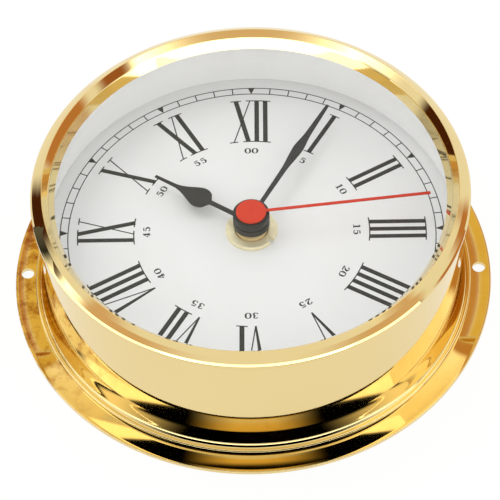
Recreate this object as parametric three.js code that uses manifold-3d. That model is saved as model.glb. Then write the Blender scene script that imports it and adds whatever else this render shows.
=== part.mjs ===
// A brass marine clock lying on its back, as it would be taken apart on a bench.
// Millimetres. z = 0 is the back of the flange, +Z comes out through the dial, +Y points to 12 o'clock.

import * as THREE from 'three';
import { mergeVertices } from 'three/addons/utils/BufferGeometryUtils.js';
import Module from 'manifold-3d';

const wasm = await Module();
wasm.setup();

// Gaps
const clearance = 0.3;        // between pieces that turn past each other or drop in loosely
const seatGap = 0.15;         // round a piece that is pressed or screwed home
const slideGap = 0.1;         // over the cell, and round the winding
const overlap = 0.1;          // how far two solids that are joined run into each other

// Bezel. Its opening over the dial sets the radii of the whole case.
const openingRadius = 47.35;
const bezelSlopeWidth = 2.7;  // from the opening out to the crest
const bezelTopWidth = 2.9;    // from the crest out to the side
const bezelTopFall = 1.7;     // how far the top cone falls to its outer edge
const bezelTopAngle = 36;     // of the cone at that edge, in degrees
const bezelShoulder = 0.9;    // radius of the outer edge
const bezelOverhang = 0.75;   // past the case wall
const bezelRise = 3.2;        // from the wall's rim to the crest
const bezelEdgeBreak = 0.3;
const bezelCrown = 0.15;      // swell of the inner slope
const lipThickness = 0.5;
const skirtThickness = 0.7;

// Brass case, turned in one piece
const wallThickness = 0.8;
const coveWidth = 1.55;       // from the wall out to the bead
const coveHeight = 5.1;
const coveFoot = 0.4;         // where the cove starts, above the flange
const beadWidth = 1.25;
const beadHeight = 0.9;       // above the flange
const flangeLandWidth = 5;    // flat ring outside the bead
const flangeThickness = 1.1;
const flangeEdgeRound = 0.35;
const fixingHoleRadius = 1.6;
const fixingHoleInset = 2.1;  // from the bead to the hole's centre
const lugWidth = 7;
const lugDepth = 6;
const lugAngles = [90, 210, 330];

// Glass and what lies under it
const rimDrop = 1.1;          // from the wall's rim down to the glass's top face
const glassThickness = 2;
const gasketThickness = 0.6;
const gasketWidth = 1.7;
const rehautThickness = 0.4;
const rehautHeight = 13.1;
const dialThickness = 0.8;

// Back cover and its screws
const coverSetback = 0.6;
const coverThickness = 1.8;
const coverWindowGap = 0.5;
const screwRadius = 1.1;
const screwHeadRadius = 1.9;
const screwHeadHeight = 0.9;
const screwLength = 6.5;
const screwSlotWidth = 0.6;
const screwSlotDepth = 0.45;

// AA cell and its contacts
const batteryRadius = 7.1;
const batteryLength = 48.9;
const batteryEdge = 0.5;
const batteryShoulder = 0.8;
const batteryNubRadius = 2.7;
const batteryNubLength = 1.3;
const contactThickness = 0.4;
const contactHalf = 4.5;
const springReach = 1.8;      // how far the sprung tongue stands off its wall
const springRoot = 1;         // straight part at each end of the tongue
const springSlit = 2.2;       // where the opening inside the tongue starts

// Quartz movement. The cell, or else the motor beside it, sets its width and depth.
const movementSetback = 0.3;  // from the flange's back plane
const movementCorner = 3.5;
const shellWall = 1.2;
const backPlate = 1;
const bayRoof = 0.6;
const bossRadius = 1.4;
const bossHeight = 0.6;
const supportRadius = 1.1;    // posts under the stator and the board

// Bush, washer and nut
const washerThickness = 0.5;
const washerWidth = 5;
const bushWall = 1.1;
const bushFlangeWidth = 2;
const bushFlangeThickness = 0.7;
const bushStand = 2.4;        // above the dial
const bushChamfer = 0.4;
const nutWidth = 2.4;
const nutThickness = 1;
const nutChamfer = 0.3;
const nutSlotWidth = 1.3;
const nutSlotDepth = 1.5;
const nutSlotAngle = -38;

// Wheel train: teeth, and the module of each pair in millimetres
const rotorPinionTeeth = 6;
const intermediateWheelTeeth = 36;
const intermediatePinionTeeth = 6;
const secondsWheelTeeth = 30;
const secondsPinionTeeth = 8;
const thirdWheelTeeth = 60;
const thirdPinionTeeth = 6;
const centreWheelTeeth = 48;
const cannonPinionTeeth = 8;
const minuteWheelTeeth = 24;
const minutePinionTeeth = 8;
const hourWheelTeeth = 32;
const knobGearTeeth = 16;
const rotorModule = 0.333;
const secondsModule = 0.48;
const thirdModule = 0.25;
const motionModule = 0.6;
const addendum = 0.9;         // in modules
const dedendum = 1.2;
const toothRootShare = 0.31;  // half a tooth's width at its root and tip, in pitches
const toothTipShare = 0.1;
const wheelThickness = 0.8;
const pinionOverrun = 0.3;    // how far a leaf runs past the wheel that it drives

// Heights of the wheels above the movement's floor
const magnetLevel = 0.9;
const statorLevel = 1.1;
const boardLevel = 1.8;
const secondsWheelLevel = 1.7;
const wheelGap = 0.8;         // between the wheels of the train
const motionGap = 1;          // from the centre wheel up to the minute wheel
const bridgeGap = 1.4;        // from the minute wheel up to the bridge
const bridgeThickness = 0.8;

// Where each axis lies from the one before it, in degrees from +X
const thirdDirection = 170;
const intermediateDirection = -10;
const rotorDirection = 0;
const minuteDirection = 60;
const knobDirection = 30;

// Wheel bridge, measured from the outer arbors
const bridgeSideMargin = 3.9;
const bridgeLowMargin = 4.9;
const bridgeHighMargin = 2.4;
const bridgeCorner = 1.8;
const bridgePostRadius = 1.4;
const bridgePostInset = 1.6;

// Arbors and pipes, inside one another
const secondsArborRadius = 0.5;
const arborRadius = 0.4;
const minutePipeWall = 0.8;
const hourPipeWall = 0.7;
const pivotDepth = 0.5;
const minutePipeStop = 0.8;   // below the top of the minute hand's hub
const hourPipeStop = 0.6;

// Hands
const hourHubGap = 0.4;       // from the bush up to the hour hand's hub
const hourHubHeight = 1.9;
const minuteHubHeight = 1.9;
const hubRadius = 4.5;
const hourBladeRise = 0.35;   // from the hub's foot to the blade
const minuteBladeRise = 0.1;
const bladeThickness = 0.5;
const hourHandLength = 28.4;
const hourStalkHalf = 0.6;
const hourBulbCentre = 14.9;
const hourBulbRadius = 3.05;
const hourBulbEnd = 64;       // degrees from the tip's side, where the bulb runs into the point
const hourTipHalf = 0.38;
const minuteHandLength = 41.3;
const minuteStalkHalf = 0.5;
const minuteWaistRadius = 18;
const minuteWaistHalf = 0.7;
const minuteSwellRadius = 24.6;
const minuteSwellHalf = 1.3;
const minuteNeckRadius = 31.5;
const minuteNeckHalf = 0.66;
const minuteTipHalf = 0.36;
const secondHandLength = 44.4;
const secondBladeHalf = 0.42;
const secondBladeThickness = 0.35;
const secondCapRadius = 3.7;
const secondCapThickness = 0.5;
const secondCapEdge = 0.12;
const secondCapDimple = 0.9;
const secondDimpleDepth = 0.25;
const secondTubeWall = 0.55;
const secondTubeDepth = 0.5;

// Hand angles, clockwise from 12 o'clock: five minutes past ten
const minuteAngle = 28.4;
const hourAngle = 300 + minuteAngle / 12;
const secondAngle = 83.2;

// Stepping motor
const magnetRadius = 1.9;
const magnetHeight = 1.2;
const statorThickness = 0.6;
const statorReach = 4;        // from the rotor to the stator's free end
const statorBridge = 1.4;     // metal left beside the rotor's hole
const statorArm = 2.4;
const statorCorner = 0.8;
const statorPostSetback = 6;
const coreThickness = 0.8;
const coreWidth = 2;
const coilWallDistance = 4.2; // from the coil's axis to the movement's wall
const coilRadius = 1.9;
const coilLength = 11;
const bobbinFlange = 0.5;
const sleeveRadius = 1.45;

// Circuit board, measured from the movement's walls
const boardSideMargin = 2.3;
const boardTopMargin = 1.8;
const boardWidth = 18.5;
const boardHeight = 13.5;
const boardThickness = 0.8;
const boardCorner = 1;
const boardPostInset = 2;
const crystalInset = 3;
const crystalRadius = 1;
const crystalLength = 6;
const chipInsetX = 5;         // from the board's right edge
const chipInsetY = 4;         // from its lower edge
const chipRadius = 2.1;
const chipHeight = 0.9;

// Setting knob
const knobRadius = 5;
const knobThickness = 2.2;
const knobSetback = 0.35;
const knobShaftRadius = 1.2;
const knobCupWall = 1;
const knobRibs = 12;
const knobRibDepth = 0.35;

const bigRound = 40;          // sides of the large turned pieces
const smallRound = 20;
const pinRound = 8;

// Radii of the case, from the opening outwards
const bezelCrestRadius = openingRadius + bezelSlopeWidth;
const bezelOuterRadius = bezelCrestRadius + bezelTopWidth;
const wallRadius = bezelOuterRadius - bezelOverhang;
const boreRadius = wallRadius - wallThickness;
const looseRadius = boreRadius - clearance;
const beadInnerRadius = wallRadius + coveWidth;
const beadOuterRadius = beadInnerRadius + beadWidth;
const flangeRadius = beadOuterRadius + flangeLandWidth;
const fixingCircleRadius = beadOuterRadius + fixingHoleInset;
const screwCircle = boreRadius - lugDepth / 2;

// Radii of the pipes, from the seconds arbor outwards
const minutePipeBore = secondsArborRadius + clearance;
const minutePipeRadius = minutePipeBore + minutePipeWall;
const hourPipeBore = minutePipeRadius + clearance;
const hourPipeRadius = hourPipeBore + hourPipeWall;
const bushBore = hourPipeRadius + clearance;
const bushRadius = bushBore + bushWall;
const nutRadius = bushRadius + nutWidth;

// Axes of the wheels, worked out from their teeth
const centreModule = thirdModule * (secondsPinionTeeth + thirdWheelTeeth)
  / (thirdPinionTeeth + centreWheelTeeth);
const hourModule = motionModule * (cannonPinionTeeth + minuteWheelTeeth)
  / (minutePinionTeeth + hourWheelTeeth);
const pairDistance = (teethA, teethB, module) => (teethA + teethB) / 2 * module;
const turn = (degrees) => degrees * Math.PI / 180;
const polar = (radius, degrees) =>
  new THREE.Vector2(radius * Math.cos(turn(degrees)), radius * Math.sin(turn(degrees)));

const centreAxis = new THREE.Vector2();
const thirdAxis = polar(pairDistance(secondsPinionTeeth, thirdWheelTeeth, thirdModule), thirdDirection);
const intermediateAxis = polar(
  pairDistance(intermediatePinionTeeth, secondsWheelTeeth, secondsModule), intermediateDirection);
const rotorAxis = polar(pairDistance(rotorPinionTeeth, intermediateWheelTeeth, rotorModule), rotorDirection)
  .add(intermediateAxis);
const minuteAxis = polar(pairDistance(cannonPinionTeeth, minuteWheelTeeth, motionModule), minuteDirection);
const knobAxis = polar(pairDistance(minuteWheelTeeth, knobGearTeeth, motionModule), knobDirection)
  .add(minuteAxis);
const arborAxes = [thirdAxis, intermediateAxis, rotorAxis];

// Inside width and the depth of the movement
const springSide = springReach + 2 * clearance;
const buttonSide = batteryNubLength + contactThickness + 2 * clearance;
const bobbinLength = coilLength + 2 * bobbinFlange;
const motorReach = bobbinLength / 2 + clearance + statorArm - rotorAxis.y;
const bayDepth = 2 * (batteryRadius + clearance) + shellWall;
const inner = Math.max((springSide + batteryLength + buttonSide) / 2, motorReach + clearance + bayDepth);
const half = inner + shellWall;
const thirdWheelLevel = secondsWheelLevel + wheelThickness + wheelGap;
const centreWheelLevel = thirdWheelLevel + wheelThickness + wheelGap;
const minuteWheelLevel = centreWheelLevel + wheelThickness + motionGap;
const bridgeLevel = minuteWheelLevel + wheelThickness + bridgeGap;
const cellDepth = 2 * batteryRadius + slideGap + bayRoof;
const wheelsDepth = backPlate + bridgeLevel + bridgeThickness + wheelThickness + 2 * clearance
  + bushFlangeThickness + shellWall;
const movementDepth = Math.max(cellDepth, wheelsDepth);

// Heights of the stack, from the flange's back plane up
const floorZ = movementSetback + backPlate;
const frontZ = movementSetback + movementDepth;
const plateZ = frontZ - shellWall;
const dialBackZ = frontZ + washerThickness;
const dialZ = dialBackZ + dialThickness;
const gasketZ = dialZ + rehautHeight;
const glassZ = gasketZ + gasketThickness;
const glassTopZ = glassZ + glassThickness;
const rimZ = glassTopZ + rimDrop;
const crestZ = rimZ + bezelRise;
const coverTopZ = coverSetback + coverThickness;
const bushTopZ = dialZ + bushStand;
const batteryY = -inner + clearance + batteryRadius;
const cavityY = -inner + bayDepth;
const bayTopY = cavityY - shellWall;

const hourHubZ = bushTopZ + hourHubGap;
const hourHubTopZ = hourHubZ + hourHubHeight;
const minuteHubZ = hourHubTopZ + clearance;
const minuteHubTopZ = minuteHubZ + minuteHubHeight;
const secondCapZ = minuteHubTopZ + clearance;

const secondsWheelZ = floorZ + secondsWheelLevel;
const thirdWheelZ = floorZ + thirdWheelLevel;
const centreWheelZ = floorZ + centreWheelLevel;
const minuteWheelZ = floorZ + minuteWheelLevel;
const bridgeZ = floorZ + bridgeLevel;
const bushFlangeZ = plateZ - bushFlangeThickness;
const hourWheelZ = bushFlangeZ - clearance - wheelThickness;
const pivotLowZ = floorZ + bossHeight - pivotDepth;
const pivotHighZ = bridgeZ + pivotDepth;

// Places of the coil, the stator and the board
const coilX = inner - coilWallDistance;
const coilLow = rotorAxis.y - bobbinLength / 2;
const coilHigh = rotorAxis.y + bobbinLength / 2;
const statorZ = floorZ + statorLevel;
const coreZ = statorZ + statorThickness;
const coreMiddleZ = coreZ + coreThickness / 2;
const boardZ = floorZ + boardLevel;
const boardLeft = -inner + boardSideMargin;
const boardRight = boardLeft + boardWidth;
const boardTop = inner - boardTopMargin;
const boardLow = boardTop - boardHeight;

const finish = (color, roughness, metalness) =>
  new THREE.MeshStandardMaterial({ color, roughness, metalness });
const polishedBrass = finish('#d9b35c', 0.12, 1);
const satinBrass = finish('#c9ab6a', 0.4, 1);
const steel = finish('#b8babd', 0.3, 1);
const copperWire = finish('#b4562c', 0.35, 1);
const clearGlass = finish('#eef3f2', 0.03, 0);
clearGlass.transparent = true;
clearGlass.opacity = 0.35;
const whitePaint = finish('#f0f0ee', 0.45, 0);
const dialPaint = finish('#e9eae8', 0.5, 0);
const blackPlastic = finish('#1b1b1c', 0.55, 0);
const blackPaint = finish('#3a3a38', 0.5, 0);
const redPaint = finish('#d44630', 0.45, 0);
const blackRubber = finish('#202020', 0.9, 0);
const whiteRubber = finish('#dcdcd8', 0.7, 0);
const ivoryPlastic = finish('#e9e4d2', 0.5, 0);
const greyMagnet = finish('#55565a', 0.6, 0.4);
const greenBoard = finish('#2f6b45', 0.6, 0);
const batteryJacket = finish('#3b6fa8', 0.4, 0);

// A closed geometry becomes a solid that can be joined and cut.
function toSolid(geometry) {
  geometry.deleteAttribute('normal');
  geometry.deleteAttribute('uv');
  const merged = mergeVertices(geometry, 1e-4);
  const index = merged.index.array;
  const corners = [];
  for (let i = 0; i < index.length; i += 3) {
    const [a, b, c] = [index[i], index[i + 1], index[i + 2]];
    if (a !== b && b !== c && c !== a) corners.push(a, b, c);
  }
  const vertProperties = new Float32Array(merged.attributes.position.array);
  const mesh = new wasm.Mesh({ numProp: 3, vertProperties, triVerts: new Uint32Array(corners) });
  return new wasm.Manifold(mesh);
}

function toGeometry(solid) {
  const mesh = solid.getMesh();
  const geometry = new THREE.BufferGeometry();
  geometry.setAttribute('position', new THREE.BufferAttribute(new Float32Array(mesh.vertProperties), 3));
  geometry.setIndex(new THREE.BufferAttribute(new Uint32Array(mesh.triVerts), 1));
  geometry.computeVertexNormals();
  return geometry;
}

// Revolves a closed outline of [radius, height] pairs about the vertical axis.
function turned(outline, sides, x = 0, y = 0) {
  const points = outline.map(([radius, height]) => new THREE.Vector2(radius, height));
  let area = 0;
  points.forEach((point, i) => {
    area += point.cross(points[(i + 1) % points.length]);
  });
  if (area < 0) points.reverse();
  points.push(points[0].clone());
  const geometry = new THREE.LatheGeometry(points, sides);
  geometry.rotateX(Math.PI / 2);
  geometry.translate(x, y, 0);
  return toSolid(geometry);
}

const ring = (inside, outside, low, high, sides, x = 0, y = 0) =>
  turned([[inside, low], [outside, low], [outside, high], [inside, high]], sides, x, y);
const disc = (radius, low, high, sides, x = 0, y = 0) => ring(0, radius, low, high, sides, x, y);

// Extrudes a flat outline between two heights, each vertex exactly on one of them.
function plate(shape, low, high, curveSegments = 4) {
  const geometry = new THREE.ExtrudeGeometry(shape, { depth: 1, bevelEnabled: false, curveSegments });
  const position = geometry.attributes.position;
  for (let i = 0; i < position.count; i++) position.setZ(i, position.getZ(i) < 0.5 ? low : high);
  return toSolid(geometry);
}

function outlineShape(points) {
  return new THREE.Shape(points.map(([x, y]) => new THREE.Vector2(x, y)));
}

function block(x0, x1, y0, y1, low, high) {
  return plate(outlineShape([[x0, y0], [x1, y0], [x1, y1], [x0, y1]]), low, high);
}

function roundedRectangle(x0, x1, y0, y1, radius) {
  const shape = new THREE.Shape();
  shape.absarc(x1 - radius, y1 - radius, radius, 0, Math.PI / 2);
  shape.absarc(x0 + radius, y1 - radius, radius, Math.PI / 2, Math.PI);
  shape.absarc(x0 + radius, y0 + radius, radius, Math.PI, 1.5 * Math.PI);
  shape.absarc(x1 - radius, y0 + radius, radius, 1.5 * Math.PI, 2 * Math.PI);
  return shape;
}

function join(...solids) {
  return solids.reduce((whole, next) => whole.add(next));
}

function cut(solid, ...tools) {
  return tools.reduce((whole, next) => whole.subtract(next), solid);
}

// A toothed disc. Its first tooth points along phase, in radians.
function toothed(teeth, module, low, high, phase = 0) {
  const pitch = 2 * Math.PI / teeth;
  const pitchRadius = teeth * module / 2;
  const rootRadius = pitchRadius - dedendum * module;
  const tipRadius = pitchRadius + addendum * module;
  const rootHalf = toothRootShare * pitch;
  const tipHalf = toothTipShare * pitch;
  const points = [];
  for (let i = 0; i < teeth; i++) {
    const middle = phase + i * pitch;
    for (const [radius, offset] of [[rootRadius, -rootHalf], [tipRadius, -tipHalf], [tipRadius, tipHalf],
      [rootRadius, rootHalf]]) {
      points.push([radius * Math.cos(middle + offset), radius * Math.sin(middle + offset)]);
    }
  }
  return plate(outlineShape(points), low, high);
}

// The phase that puts gear B in mesh with gear A, when B lies in direction from A.
function meshPhase(phaseA, teethA, direction, teethB) {
  return direction + Math.PI - (phaseA - direction) * teethA / teethB + Math.PI / teethB;
}

function piece(name, solid, material, axis = null) {
  const mesh = new THREE.Mesh(toGeometry(solid), material);
  mesh.name = name;
  if (axis) mesh.position.set(axis.x, axis.y, 0);
  return mesh;
}

function group(...children) {
  const holder = new THREE.Group();
  holder.add(...children);
  return holder;
}

// Points of an arc or an ellipse quadrant in the turning plane, ends included.
function quadrant(centreRadius, centreHeight, radialSize, heightSize, fromDegrees, toDegrees, steps) {
  const points = [];
  for (let i = 0; i <= steps; i++) {
    const angle = turn(fromDegrees + (toDegrees - fromDegrees) * i / steps);
    points.push([centreRadius + radialSize * Math.cos(angle), centreHeight + heightSize * Math.sin(angle)]);
  }
  return points;
}

// Case: flange, half-round bead, hollow cove and straight wall, with three lugs brazed inside.
function caseBody() {
  const beadMiddle = beadOuterRadius - beadWidth / 2;
  const coveTopZ = flangeThickness + coveFoot + coveHeight;
  const outline = [
    [boreRadius, 0],
    [flangeRadius - flangeEdgeRound, 0],
    [flangeRadius, flangeEdgeRound],
    [flangeRadius, flangeThickness - flangeEdgeRound],
    [flangeRadius - flangeEdgeRound, flangeThickness],
    ...quadrant(beadMiddle, flangeThickness, beadWidth / 2, beadHeight, 0, 150, 4),
    ...quadrant(beadInnerRadius, coveTopZ, beadInnerRadius - wallRadius, coveHeight, 270, 180, 4),
    [wallRadius, rimZ],
    [boreRadius, rimZ],
  ];
  let solid = turned(outline, bigRound);
  for (const angle of lugAngles) {
    const lug = block(boreRadius - lugDepth, boreRadius + wallThickness / 2, -lugWidth / 2, lugWidth / 2,
      coverTopZ, dialBackZ);
    const holeEndZ = coverSetback + screwHeadHeight + screwLength + clearance;
    const hole = disc(screwRadius + clearance, coverTopZ - 1, holeEndZ, pinRound, screwCircle, 0);
    solid = solid.add(lug.subtract(hole).rotate([0, 0, angle]));
  }
  for (const side of [-1, 1]) {
    solid = solid.subtract(
      disc(fixingHoleRadius, -1, flangeThickness + 1, smallRound, side * fixingCircleRadius, 0));
  }
  return piece('case_body', solid, polishedBrass);
}

function bezel() {
  const skirtInner = looseRadius - skirtThickness;
  const lipZ = glassTopZ + lipThickness;
  const shoulderZ = crestZ - bezelTopFall - bezelShoulder * Math.cos(turn(bezelTopAngle));
  const slopeMiddle = [(bezelCrestRadius + openingRadius) / 2, (crestZ + lipZ) / 2];
  const outline = [
    [skirtInner, glassZ],
    [looseRadius, glassZ],
    [looseRadius, rimZ],
    [bezelOuterRadius - bezelEdgeBreak, rimZ],
    [bezelOuterRadius, rimZ + bezelEdgeBreak],
    ...quadrant(bezelOuterRadius - bezelShoulder, shoulderZ, bezelShoulder, bezelShoulder,
      0, 90 - bezelTopAngle, 3),
    [bezelCrestRadius, crestZ],
    [slopeMiddle[0] - bezelCrown, slopeMiddle[1] + bezelCrown],
    [openingRadius, lipZ],
    [openingRadius, glassTopZ],
    [skirtInner, glassTopZ],
  ];
  return piece('bezel', turned(outline, bigRound), polishedBrass);
}

function frontGroup() {
  const glassRadius = looseRadius - skirtThickness - clearance;
  return group(
    bezel(),
    piece('glass', disc(glassRadius, glassZ, glassTopZ, bigRound), clearGlass),
    piece('glass_gasket', ring(looseRadius - gasketWidth, looseRadius, gasketZ, glassZ, bigRound),
      whiteRubber),
    piece('rehaut_ring', ring(looseRadius - rehautThickness, looseRadius, dialZ, gasketZ, bigRound),
      whitePaint),
    piece('dial', ring(bushRadius + clearance, looseRadius, dialBackZ, dialZ, bigRound), dialPaint),
  );
}

// Back cover with a window for the movement, and the three screws that hold it to the lugs.
function backGroup() {
  const window = half + coverWindowGap;
  const headSeatZ = coverSetback + screwHeadHeight;
  let cover = disc(looseRadius, coverSetback, coverTopZ, bigRound)
    .subtract(block(-window, window, -window, window, 0, coverTopZ + 1));
  const holder = new THREE.Group();
  lugAngles.forEach((angle, i) => {
    const place = polar(screwCircle, angle);
    cover = cut(cover,
      disc(screwHeadRadius + clearance, 0, headSeatZ, smallRound, place.x, place.y),
      disc(screwRadius + clearance, 0, coverTopZ + 1, pinRound, place.x, place.y));
    const slot = block(-screwHeadRadius - 1, screwHeadRadius + 1, -screwSlotWidth / 2, screwSlotWidth / 2,
      0, coverSetback + screwSlotDepth);
    const screw = join(
      disc(screwHeadRadius, coverSetback, headSeatZ, pinRound),
      disc(screwRadius, coverSetback, headSeatZ + screwLength, pinRound));
    const mesh = piece(`cover_screw_${i + 1}`, screw.subtract(slot), steel, place);
    mesh.rotation.z = turn(angle);
    holder.add(mesh);
  });
  holder.add(piece('back_cover', cover, blackPlastic));
  return holder;
}

// Moulded front shell: four walls, the battery bay and four posts for the wheel bridge.
function frontShell() {
  const outer = plate(roundedRectangle(-half, half, -half, half, movementCorner), movementSetback, frontZ);
  let shell = cut(outer,
    block(-inner, inner, cavityY, inner, -1, plateZ),
    block(-inner, inner, -inner, bayTopY, -1, frontZ - bayRoof),
    block(-half - 1, half + 1, cavityY - shellWall / 2, half + 1, -1, floorZ));
  for (const [x, y] of bridgePosts()) {
    shell = shell.add(disc(bridgePostRadius, bridgeZ + bridgeThickness, plateZ + overlap, pinRound, x, y));
  }
  const boss = disc(bossRadius, plateZ - pivotDepth, plateZ + overlap, pinRound, minuteAxis.x, minuteAxis.y);
  const socket = disc(arborRadius + clearance, plateZ - 1, plateZ + pivotDepth, pinRound,
    minuteAxis.x, minuteAxis.y);
  const bushHole = disc(bushRadius + seatGap, plateZ - 1, frontZ + 1, smallRound);
  return piece('movement_front_shell', cut(shell.add(boss), socket, bushHole), blackPlastic);
}

function bridgeEdges() {
  return {
    left: thirdAxis.x - bridgeSideMargin,
    right: rotorAxis.x + bridgeSideMargin,
    low: intermediateAxis.y - bridgeLowMargin,
    high: knobAxis.y + bridgeHighMargin,
  };
}

function bridgePosts() {
  const { left, right, low, high } = bridgeEdges();
  const xs = [left + bridgePostInset, right - bridgePostInset];
  const ys = [low + bridgePostInset, high - bridgePostInset];
  return ys.flatMap((y) => xs.map((x) => [x, y]));
}

function wheelBridge() {
  const { left, right, low, high } = bridgeEdges();
  const top = bridgeZ + bridgeThickness;
  let solid = plate(roundedRectangle(left, right, low, high, bridgeCorner), bridgeZ, top);
  const minutePinionTip = (minutePinionTeeth / 2 + addendum) * hourModule;
  solid = cut(solid,
    disc(minutePipeRadius + clearance, bridgeZ - 1, top + 1, smallRound),
    disc(minutePinionTip + clearance, bridgeZ - 1, top + 1, smallRound, minuteAxis.x, minuteAxis.y));
  for (const axis of [...arborAxes, knobAxis]) {
    solid = solid.subtract(disc(arborRadius + clearance, bridgeZ - 1, top + 1, pinRound, axis.x, axis.y));
  }
  return piece('wheel_bridge', solid, blackPlastic);
}

// Back shell: a lid over the wheels, with pivot bosses, stator posts and a cup for the setting knob.
function backShell() {
  const cupTopZ = knobSetback + knobThickness + clearance;
  const cupInner = knobRadius + clearance;
  let lid = plate(roundedRectangle(-half, half, -half, half, movementCorner), movementSetback, floorZ)
    .subtract(block(-half - 1, half + 1, -half - 1, cavityY - shellWall / 2 + clearance, -1, floorZ + 1));
  lid = lid.add(disc(cupInner + knobCupWall, floorZ - overlap, cupTopZ + knobCupWall, smallRound,
    knobAxis.x, knobAxis.y));
  lid = cut(lid,
    disc(cupInner, -1, cupTopZ, smallRound, knobAxis.x, knobAxis.y),
    disc(knobShaftRadius + clearance, -1, cupTopZ + knobCupWall + 1, pinRound, knobAxis.x, knobAxis.y));
  for (const axis of [centreAxis, ...arborAxes, minuteAxis]) {
    lid = lid.add(disc(bossRadius, floorZ - overlap, floorZ + bossHeight, pinRound, axis.x, axis.y));
    lid = lid.subtract(disc(secondsArborRadius + clearance, pivotLowZ - clearance, floorZ + bossHeight + 1,
      pinRound, axis.x, axis.y));
  }
  for (const [x, y] of statorPosts()) {
    lid = lid.add(disc(supportRadius, floorZ - overlap, statorZ, pinRound, x, y));
  }
  for (const [x, y] of boardPosts()) {
    lid = lid.add(disc(supportRadius, floorZ - overlap, boardZ, pinRound, x, y));
  }
  return piece('movement_back_shell', lid, blackPlastic);
}

// Stepping motor: a stator plate round the rotor, and the coil on a core across its arms.
function statorPosts() {
  const y = bobbinLength / 2 + clearance + statorArm / 2;
  return [-y, y].map((offset) => [coilX - statorPostSetback, rotorAxis.y + offset]);
}

function alongY(solid, x, y, z) {
  return solid.rotate([-90, 0, 0]).translate([x, y, z]);
}

function motorGroup() {
  const armLow = coilLow - clearance - statorArm;
  const armHigh = coilHigh + clearance + statorArm;
  const right = coilX + coreWidth / 2;
  const windowLeft = rotorAxis.x + magnetRadius + clearance + statorBridge;
  const stator = cut(
    plate(roundedRectangle(rotorAxis.x - statorReach, right, armLow, armHigh, statorCorner), statorZ, coreZ),
    block(windowLeft, right + 1, coilLow - clearance, coilHigh + clearance, statorZ - 1, coreZ + 1),
    disc(magnetRadius + clearance, statorZ - 1, coreZ + 1, smallRound, rotorAxis.x, rotorAxis.y));
  const core = block(coilX - coreWidth / 2, right, armLow, armHigh, coreZ, coreZ + coreThickness);
  const holeHalf = coreWidth / 2 + seatGap;
  const coreHole = block(coilX - holeHalf, coilX + holeHalf, armLow, armHigh,
    coreZ - seatGap, coreZ + coreThickness + seatGap);
  const spool = turned([[0, 0], [coilRadius, 0], [coilRadius, bobbinFlange], [sleeveRadius, bobbinFlange],
    [sleeveRadius, bobbinFlange + coilLength], [coilRadius, bobbinFlange + coilLength],
    [coilRadius, bobbinLength], [0, bobbinLength]], smallRound);
  const bobbin = alongY(spool, coilX, coilLow, coreMiddleZ).subtract(coreHole);
  const wound = ring(sleeveRadius + slideGap, coilRadius - slideGap, bobbinFlange + slideGap,
    bobbinFlange + coilLength - slideGap, smallRound);
  const winding = alongY(wound, coilX, coilLow, coreMiddleZ);
  return group(
    piece('stator', stator, steel),
    piece('coil_core', core, steel),
    piece('coil_bobbin', bobbin, ivoryPlastic),
    piece('coil_winding', winding, copperWire),
  );
}

// Circuit board on two posts beside the wheels, with the crystal and the chip on it.
function boardPosts() {
  return [
    [boardLeft + boardPostInset, boardLow + boardPostInset],
    [boardRight - boardPostInset, boardTop - boardPostInset],
  ];
}

function boardGroup() {
  const top = boardZ + boardThickness;
  const crystal = disc(crystalRadius, 0, crystalLength, pinRound).rotate([0, 90, 0])
    .translate([boardLeft + crystalInset, boardTop - crystalInset, top + crystalRadius]);
  const chip = turned([[0, top], [chipRadius, top], [0.8 * chipRadius, top + 0.7 * chipHeight],
    [0.4 * chipRadius, top + chipHeight], [0, top + chipHeight]], pinRound,
    boardRight - chipInsetX, boardLow + chipInsetY);
  return group(
    piece('circuit_board', plate(roundedRectangle(boardLeft, boardRight, boardLow, boardTop, boardCorner),
      boardZ, top), greenBoard),
    piece('quartz_crystal', crystal, steel),
    piece('ic_chip', chip, blackPlastic),
  );
}

// The cell lies across the movement. Its button end bears on a plate, its flat end on a sprung tongue.
function batteryGroup() {
  const middleZ = movementSetback + batteryRadius;
  const bodyStart = -inner + springSide;
  const bodyEnd = bodyStart + batteryLength;
  const nubEnd = bodyEnd + batteryNubLength;
  const cell = turned([[0, bodyStart], [batteryRadius - batteryEdge, bodyStart],
    [batteryRadius, bodyStart + batteryEdge], [batteryRadius, bodyEnd - batteryEdge],
    [batteryRadius - batteryShoulder, bodyEnd], [batteryNubRadius, bodyEnd], [batteryNubRadius, nubEnd],
    [0, nubEnd]], smallRound)
    .rotate([0, 90, 0]).translate([0, batteryY, middleZ]);
  const positive = block(inner - clearance - contactThickness, inner - clearance, batteryY - contactHalf,
    batteryY + contactHalf, middleZ - contactHalf, middleZ + contactHalf);
  const wallFace = -inner + clearance;
  const stripFace = wallFace + contactThickness;
  const reach = wallFace + springReach;
  const crown = (end, inside) => [2 * reach - stripFace - inside, batteryY, stripFace, end];
  const tongue = new THREE.Shape();
  tongue.moveTo(wallFace, batteryY - contactHalf);
  tongue.lineTo(stripFace, batteryY - contactHalf);
  tongue.lineTo(stripFace, batteryY - contactHalf + springRoot);
  tongue.quadraticCurveTo(...crown(batteryY + contactHalf - springRoot, 0));
  tongue.lineTo(stripFace, batteryY + contactHalf);
  tongue.lineTo(wallFace, batteryY + contactHalf);
  const hollow = new THREE.Path();
  hollow.moveTo(stripFace, batteryY - contactHalf + springSlit);
  hollow.quadraticCurveTo(...crown(batteryY + contactHalf - springSlit, 2 * contactThickness));
  tongue.holes.push(hollow);
  const negative = plate(tongue, middleZ - contactHalf + springRoot, middleZ + contactHalf - springRoot, 8);
  return group(
    piece('battery', cell, batteryJacket),
    piece('battery_contact_positive', positive, steel),
    piece('battery_contact_negative', negative, steel),
  );
}

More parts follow.
